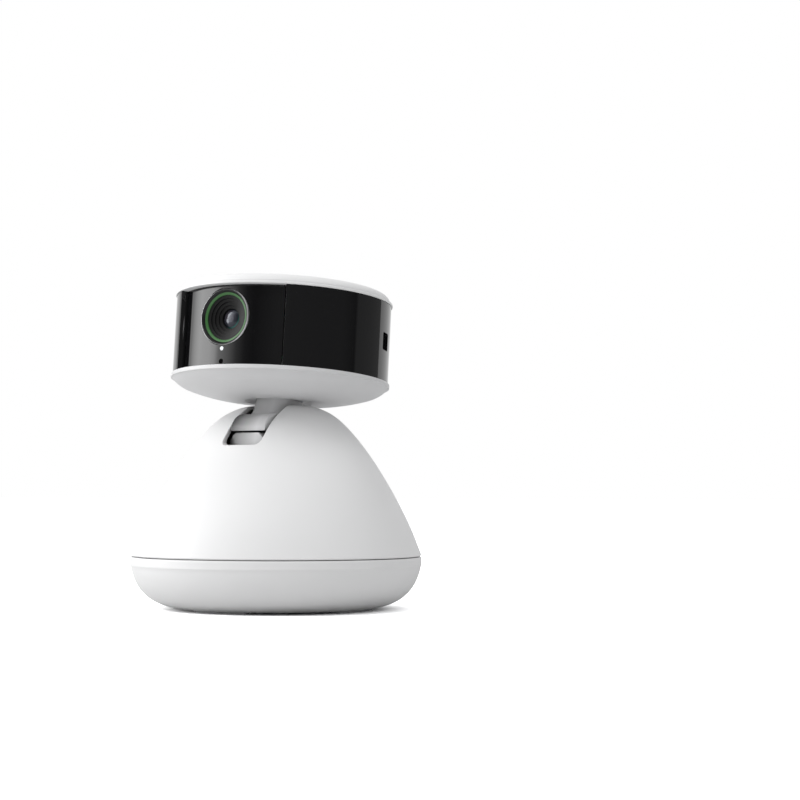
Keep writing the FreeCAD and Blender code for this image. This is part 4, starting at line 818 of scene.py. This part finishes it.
# The column is an ellipse, (a cos u, b sin u), carried up its height. It spreads a little at its foot.
def neckColumn():
    turn = np.linspace(0, 2 * np.pi, 96, endpoint=False)
    top, end = neck["columnTop"], neck["spigotTop"]
    level = np.array(neck["columnLevels"] + [top, top, top - 0.1, end, end])
    along = neck["columnAlong"] + np.array(neck["columnFlare"] + [0] * 5)
    across = neck["columnAcross"] + 0 * level
    spigotFrom = len(neck["columnLevels"]) + 1
    across[spigotFrom:], along[spigotFrom:] = neck["spigot"], neck["spigot"]
    across[[0, -1]], along[[0, -1]] = 0, 0
    return np.stack([across[:, None] * np.cos(turn), along[:, None] * np.sin(turn),
                     level[:, None] + 0 * turn], -1)


# The neck's front is gently rounded in plan: y = front + round (x / half)^2, and what lies before it goes.
def frontTool():
    x = np.linspace(-1.15, 1.15, 60) * neck["half"]
    curve = np.stack([x, neck["front"] + neck["planRound"] * (x / neck["half"]) ** 2], -1)
    shape = np.vstack([curve, [[x[-1], neck["front"] - 3], [x[0], neck["front"] - 3]]])
    return solidOf("frontTool", onHead(pushed(shape, -12, 10, 0.01)), False)


# The nose's top is rounded off to both sides: what lies beyond a quarter circle is cut away.
def noseCorner(side):
    turn = np.linspace(0, np.pi / 2, 24)
    reach, top = neck["noseRound"], neck["noseTop"]
    curve = np.stack([neck["half"] - reach + reach * np.sin(turn), top - reach + reach * np.cos(turn)], -1)
    shape = np.vstack([curve, [[neck["half"] + 2, top - reach], [neck["half"] + 2, top + 2],
                               [neck["half"] - reach, top + 2]]]) * (side, 1)
    return solidOf("noseCorner", onHead(alongY(shape, -20, 12, 0.01)), False)


def neckBlock(name, corners):
    return solidOf(name, onHead(acrossX(outline(corners), neck["half"], neck["edge"])), False)


neckUpper = neckBlock("neckUpper", neck["knuckle"])
carve(neckUpper, [frontTool()])
carve(neckUpper, [solidOf("column", onHead(neckColumn()), False)], "UNION")
standIn(neckUpper, "head", "grey_plastic", finish["grey"], "neck_shell")
neckLower = neckBlock("neckLower", neck["nose"])
carve(neckLower, [noseCorner(1), noseCorner(-1), frontTool()])
standIn(neckLower, "head", "pale_plastic", finish["grey"], "neck_base")
print("neck is made")


# ---- head shells: bowl, cover, band and button ----

head = {
    "bowl": [(5.1, 12.9, 0, 0), (9.4, 12.9, 0.2, 0), (11.0, 12.1, 0.3, 0.75), (30.0, 15.0, 0, 0.45),
             (35.1, 18.15, 0.1, 0), (35.7, 18.3, 0.12, 0), (35.7, 19.6, 0.3, 0), (33.2, 19.6, 0.1, 0),
             (33.2, 18.5, 0, 0), (29.2, 16.9, 0, 0), (10.0, 14.0, 0, 0), (5.1, 14.0, 0, 0)],
    "cover": [(0, 48.1, 0, 0), (30.8, 46.9, 0, 0), (32.8, 46.2, 0, 0), (32.8, 45.2, 0, 0),
              (35.6, 45.2, 0.25, 0), (35.6, 46.0, 0.3, 0), (34.7, 46.05, 0.08, 0), (34.8, 46.5, 0.3, 0.7),
              (31.6, 48.8, 0, 0.07), (22.0, 49.5, 0, 0.1), (0, 50.0, 0, 0)],
    "bandRadius": 35.2, "bandInner": 33.4, "jambInner": 31.4, "low": 19.6, "high": 45.2,
    "windowHalf": 35.4, "jambMiddle": 1.2, "jamb": 2.2, "jambFoot": 2.6, "wallFrom": 3.0, "bandEdge": 0.06,
    "wallSteps": 250, "climbSteps": 24,
}


# The band's wall is a closed loop of (r, z) carried round the head from one side of the window to the
# other: (r sin a, -r cos a, z). At its two ends the wall is thicker, and its outer edge is rounded.
def bandSkin():
    start, whole = head["windowHalf"], 360 - 2 * head["windowHalf"]
    t = np.linspace(0, 1, 6)
    soft = math.degrees(head["bandEdge"] / head["bandRadius"])
    end = soft * t ** 2
    outer = head["bandRadius"] - head["bandEdge"] * (1 - t) ** 2
    angle = np.concatenate([[0], end, [head["jambMiddle"], head["jamb"], head["jamb"], head["jambFoot"]]])
    outside = np.concatenate([[head["jambInner"]], outer, np.full(4, head["bandRadius"])])
    inside = np.concatenate([np.full(9, head["jambInner"]), np.full(2, head["bandInner"])])
    steps = head["wallSteps"]
    middle = np.linspace(head["wallFrom"], whole - head["wallFrom"], steps)
    angle = np.concatenate([angle, middle, whole - angle[::-1]])
    outside = np.concatenate([outside, np.full(steps, head["bandRadius"]), outside[::-1]])
    inside = np.concatenate([inside, np.full(steps, head["bandInner"]), inside[::-1]])
    angle = np.radians(start + angle)[:, None]
    climb = np.linspace(head["low"], head["high"], head["climbSteps"])
    level = np.concatenate([climb, climb[::-1]])
    radius = np.repeat(np.stack([outside, inside], 1), head["climbSteps"], axis=1)
    return np.stack([radius * np.sin(angle), -radius * np.cos(angle), level + 0 * angle], -1)


button = {"turn": 15.5, "height": 32.4, "width": 5.0, "tall": 5.2, "gap": 0.25, "face": 34.0, "back": 32.35,
          "corner": 0.7, "edge": 0.35, "openingCorner": 0.9, "openingIn": 28, "openingOut": 40}


# What is drawn facing +X goes round to the button's side of the head.
def towardsButton(grid):
    turn = math.radians(button["turn"])
    across, up, out = grid[..., 0], grid[..., 1], grid[..., 2]
    return np.stack([out * math.cos(turn) - across * math.sin(turn),
                     out * math.sin(turn) + across * math.cos(turn), up], -1)


headBowl = solidOf("headBowl", onHead(turned(outline(head["bowl"]), 240)))
standIn(headBowl, "head", "pale_plastic", finish["bowl"], "head_bowl")
headCover = solidOf("headCover", onHead(turned(outline(head["cover"]), 240)))
standIn(headCover, "head", "white_plastic", finish["white"], "top_cover")
drumBand = solidOf("drumBand", onHead(bandSkin()), False)
opening = plate(button["width"] + 2 * button["gap"], button["tall"] + 2 * button["gap"],
                button["openingCorner"], (0, button["height"]))
opening = pushed(opening, button["openingIn"], button["openingOut"], 0.1)
carve(drumBand, [solidOf("opening", onHead(towardsButton(opening)), False)])
standIn(drumBand, "head", "black_gloss", finish["gloss"], "head_band")
cap = plate(button["width"], button["tall"], button["corner"], (0, button["height"]))
cap = pushed(cap, button["back"], button["face"], button["edge"])
sideButton = solidOf("sideButton", onHead(towardsButton(cap)), False)
standIn(sideButton, "setup_button", "black_gloss", finish["gloss"], "setup_button")
print("head shells are made")


# ---- window ----

window = {"radius": 33.0, "inner": 31.4, "half": 34.9, "lensHeight": 35.1, "lensHole": 9.12,
          "lightHeight": 25.0, "lightHole": 0.67, "micHeight": 20.9, "micHole": 0.85,
          "pinFront": -40, "pinBack": -25}


# The panel is mapped from its front view: straight lines run from the round lens hole to the border,
# and each point (x, z) lies on the drum at y = -sqrt(r^2 - x^2). The back is the same on a smaller drum.
def windowSkin():
    side = np.array([window["radius"], window["inner"]]) * math.sin(math.radians(window["half"]))
    rise = np.array([head["low"], head["high"]]) - window["lensHeight"]
    corners = [math.atan2(v, h * side[0]) for v in rise for h in (-1, 1)]
    turn = np.sort(np.concatenate([np.linspace(-np.pi, np.pi, 320, endpoint=False), corners]))
    rows = []
    spread = np.linspace(0, 1, 30) ** 1.2
    for radius, reach, share in ((window["radius"], side[0], spread),
                                 (window["inner"], side[1], spread[::-1])):
        toSide = reach / np.maximum(np.abs(np.cos(turn)), 1e-9)
        toRise = np.where(np.sin(turn) > 0, rise[1], -rise[0]) / np.maximum(np.abs(np.sin(turn)), 1e-9)
        border = np.minimum(toSide, toRise)
        away = window["lensHole"] + (border - window["lensHole"]) * share[:, None]
        x, v = away * np.cos(turn), away * np.sin(turn)
        rows.append(np.stack([x, -np.sqrt(radius ** 2 - x ** 2), v + window["lensHeight"]], -1))
    return np.concatenate(rows)


def pinTool(height, radius):
    turn = np.linspace(0, 2 * np.pi, 40, endpoint=False)
    circle = np.stack([radius * np.cos(turn), radius * np.sin(turn)], -1)
    shape = np.stack([0 * circle, circle, circle, 0 * circle])
    front, back = window["pinFront"], window["pinBack"]
    depth = np.array([front, front, back, back])[:, None] + 0 * turn
    return solidOf("pinTool", onHead(np.stack([shape[..., 0], depth, shape[..., 1] + height], -1)), False)


windowPanel = solidOf("windowPanel", onHead(windowSkin()))
carve(windowPanel, [pinTool(window["lightHeight"], window["lightHole"]),
                    pinTool(window["micHeight"], window["micHole"])])
standIn(windowPanel, "head", "black_gloss", finish["gloss"], "lens_window")
print("window is made")


# ---- lens ----

lens = {
    "front": -32.65,
    "bezel": [(8.0, 0.8, 0.05, 0), (8.5, 0.12, 0.18, 0), (8.86, 0.0, 0.05, 0), (9.1, 0.2, 0.05, 0),
              (9.1, 1.25, 0, 0), (8.3, 1.25, 0, 0), (8.0, 1.1, 0, 0)],
    "rimStart": 8.88,
    "ring": [(7.2, 1.1, 0.12, 0), (7.98, 0.7, 0.12, 0), (7.98, 1.2, 0, 0), (8.28, 1.3, 0, 0),
             (8.28, 2.0, 0, 0), (7.4, 2.0, 0, 0), (7.2, 1.6, 0, 0)],
    "glass": [(0, 4.9, 0, 0), (3.18, 4.9, 0, 0), (3.18, 4.3, 0.1, 0), (2.7, 4.05, 0, 0), (2.0, 3.78, 0, 0),
              (1.1, 3.57, 0, 0), (0, 3.5, 0, 0)],
    "coneTop": 7.18, "coneFoot": 3.2, "coneStart": 1.3, "coneDepth": 2.6, "coneSteps": 4,
    "stepWall": 0.45, "floorDrop": 1.0, "seat": 2.02, "barrelRadius": 7.2, "barrelLength": 9.0,
    # Where the glass's painted reflection is centred, and how far its ramp reaches.
    "reflectionShift": (-0.7, 3.9, 0.6), "reflectionReach": 0.0045,
}


# The barrel's mouth steps in towards the glass: each step has a slope and a short straight wall.
def barrelOutline():
    floor = lens["coneStart"] + lens["coneDepth"] + lens["floorDrop"]
    corners = [(0, floor, 0, 0), (lens["coneFoot"], floor, 0, 0)]
    narrow = (lens["coneTop"] - lens["coneFoot"]) / lens["coneSteps"]
    fall = lens["coneDepth"] / lens["coneSteps"]
    for step in reversed(range(lens["coneSteps"])):
        wide, depth = lens["coneTop"] - narrow * step, lens["coneStart"] + fall * step
        corners += [(wide - narrow, depth + fall, 0.05, 0),
                    (wide - narrow, depth + fall * lens["stepWall"], 0.08, 0),
                    (wide, depth, 0.05, 0)]
    radius, length = lens["barrelRadius"], lens["barrelLength"]
    return outline(corners + [(lens["coneTop"], lens["seat"], 0, 0), (radius, lens["seat"], 0, 0),
                              (radius, length, 0, 0), (0, length, 0, 0)])


def lensPiece(name, shape, slot, node, material):
    piece = solidOf(name, onHead(turnedOnLens(shape, lens["front"], window["lensHeight"])))
    standIn(piece, "head", slot, material, node)


lensFace = np.array([0, lens["front"], window["lensHeight"]])
bezelCentre = onHead(lensFace) * millimetre
reflectionCentre = onHead(lensFace + lens["reflectionShift"]) * millimetre
lensPiece("lensBezel", outline(lens["bezel"]), "black_gloss", "lens_bezel",
          rimmedBezel(bezelCentre, lens["rimStart"] * millimetre))
lensPiece("lensRing", outline(lens["ring"]), "green_trim", "lens_ring", finish["green"])
lensPiece("lensBarrel", barrelOutline(), "black_matte", "lens_barrel", finish["matt"])
# The glass's base colour holds a painted reflection and a painted teal glint.
lensPiece("lensGlass", outline(lens["glass"]), "lens_glass", "lens_glass",
          paintedReflectionGlass(reflectionCentre, lens["reflectionReach"]))
print("lens is made")


# ---- finishes of the nodes that stay as they are ----

kept = {
    "white": ["base_plate"],
    "inner": ["base_deck", "turntable", "tilt_frame", "retaining_ring", "neck_nut"],
    "gear": ["bearing_ring", "pan_gear", "tilt_gear", "pan_pinion", "tilt_pinion"],
    "matt": ["lens_holder", "head_frame", "speaker"],
    "clear": ["status_light", "infrared_leds"],
    "steel": ["plate_screws", "housing_screws", "head_screws", "tilt_axle", "axle_clip", "pan_motor",
              "tilt_motor", "usb_c_port", "chip_shield", "microphone"],
    "iron": ["base_weight"], "aluminium": ["heat_spreader"], "brass": ["axle_bushes"],
    "rubber": ["speaker_gasket"], "film": ["antenna"],
    "board": ["base_board", "main_board", "sensor_board", "led_boards", "button_board"],
}
for look, names in kept.items():
    for name in names:
        nodes[name].data.materials.clear()
        nodes[name].data.materials.append(finish[look])
print("kept nodes have their finishes")
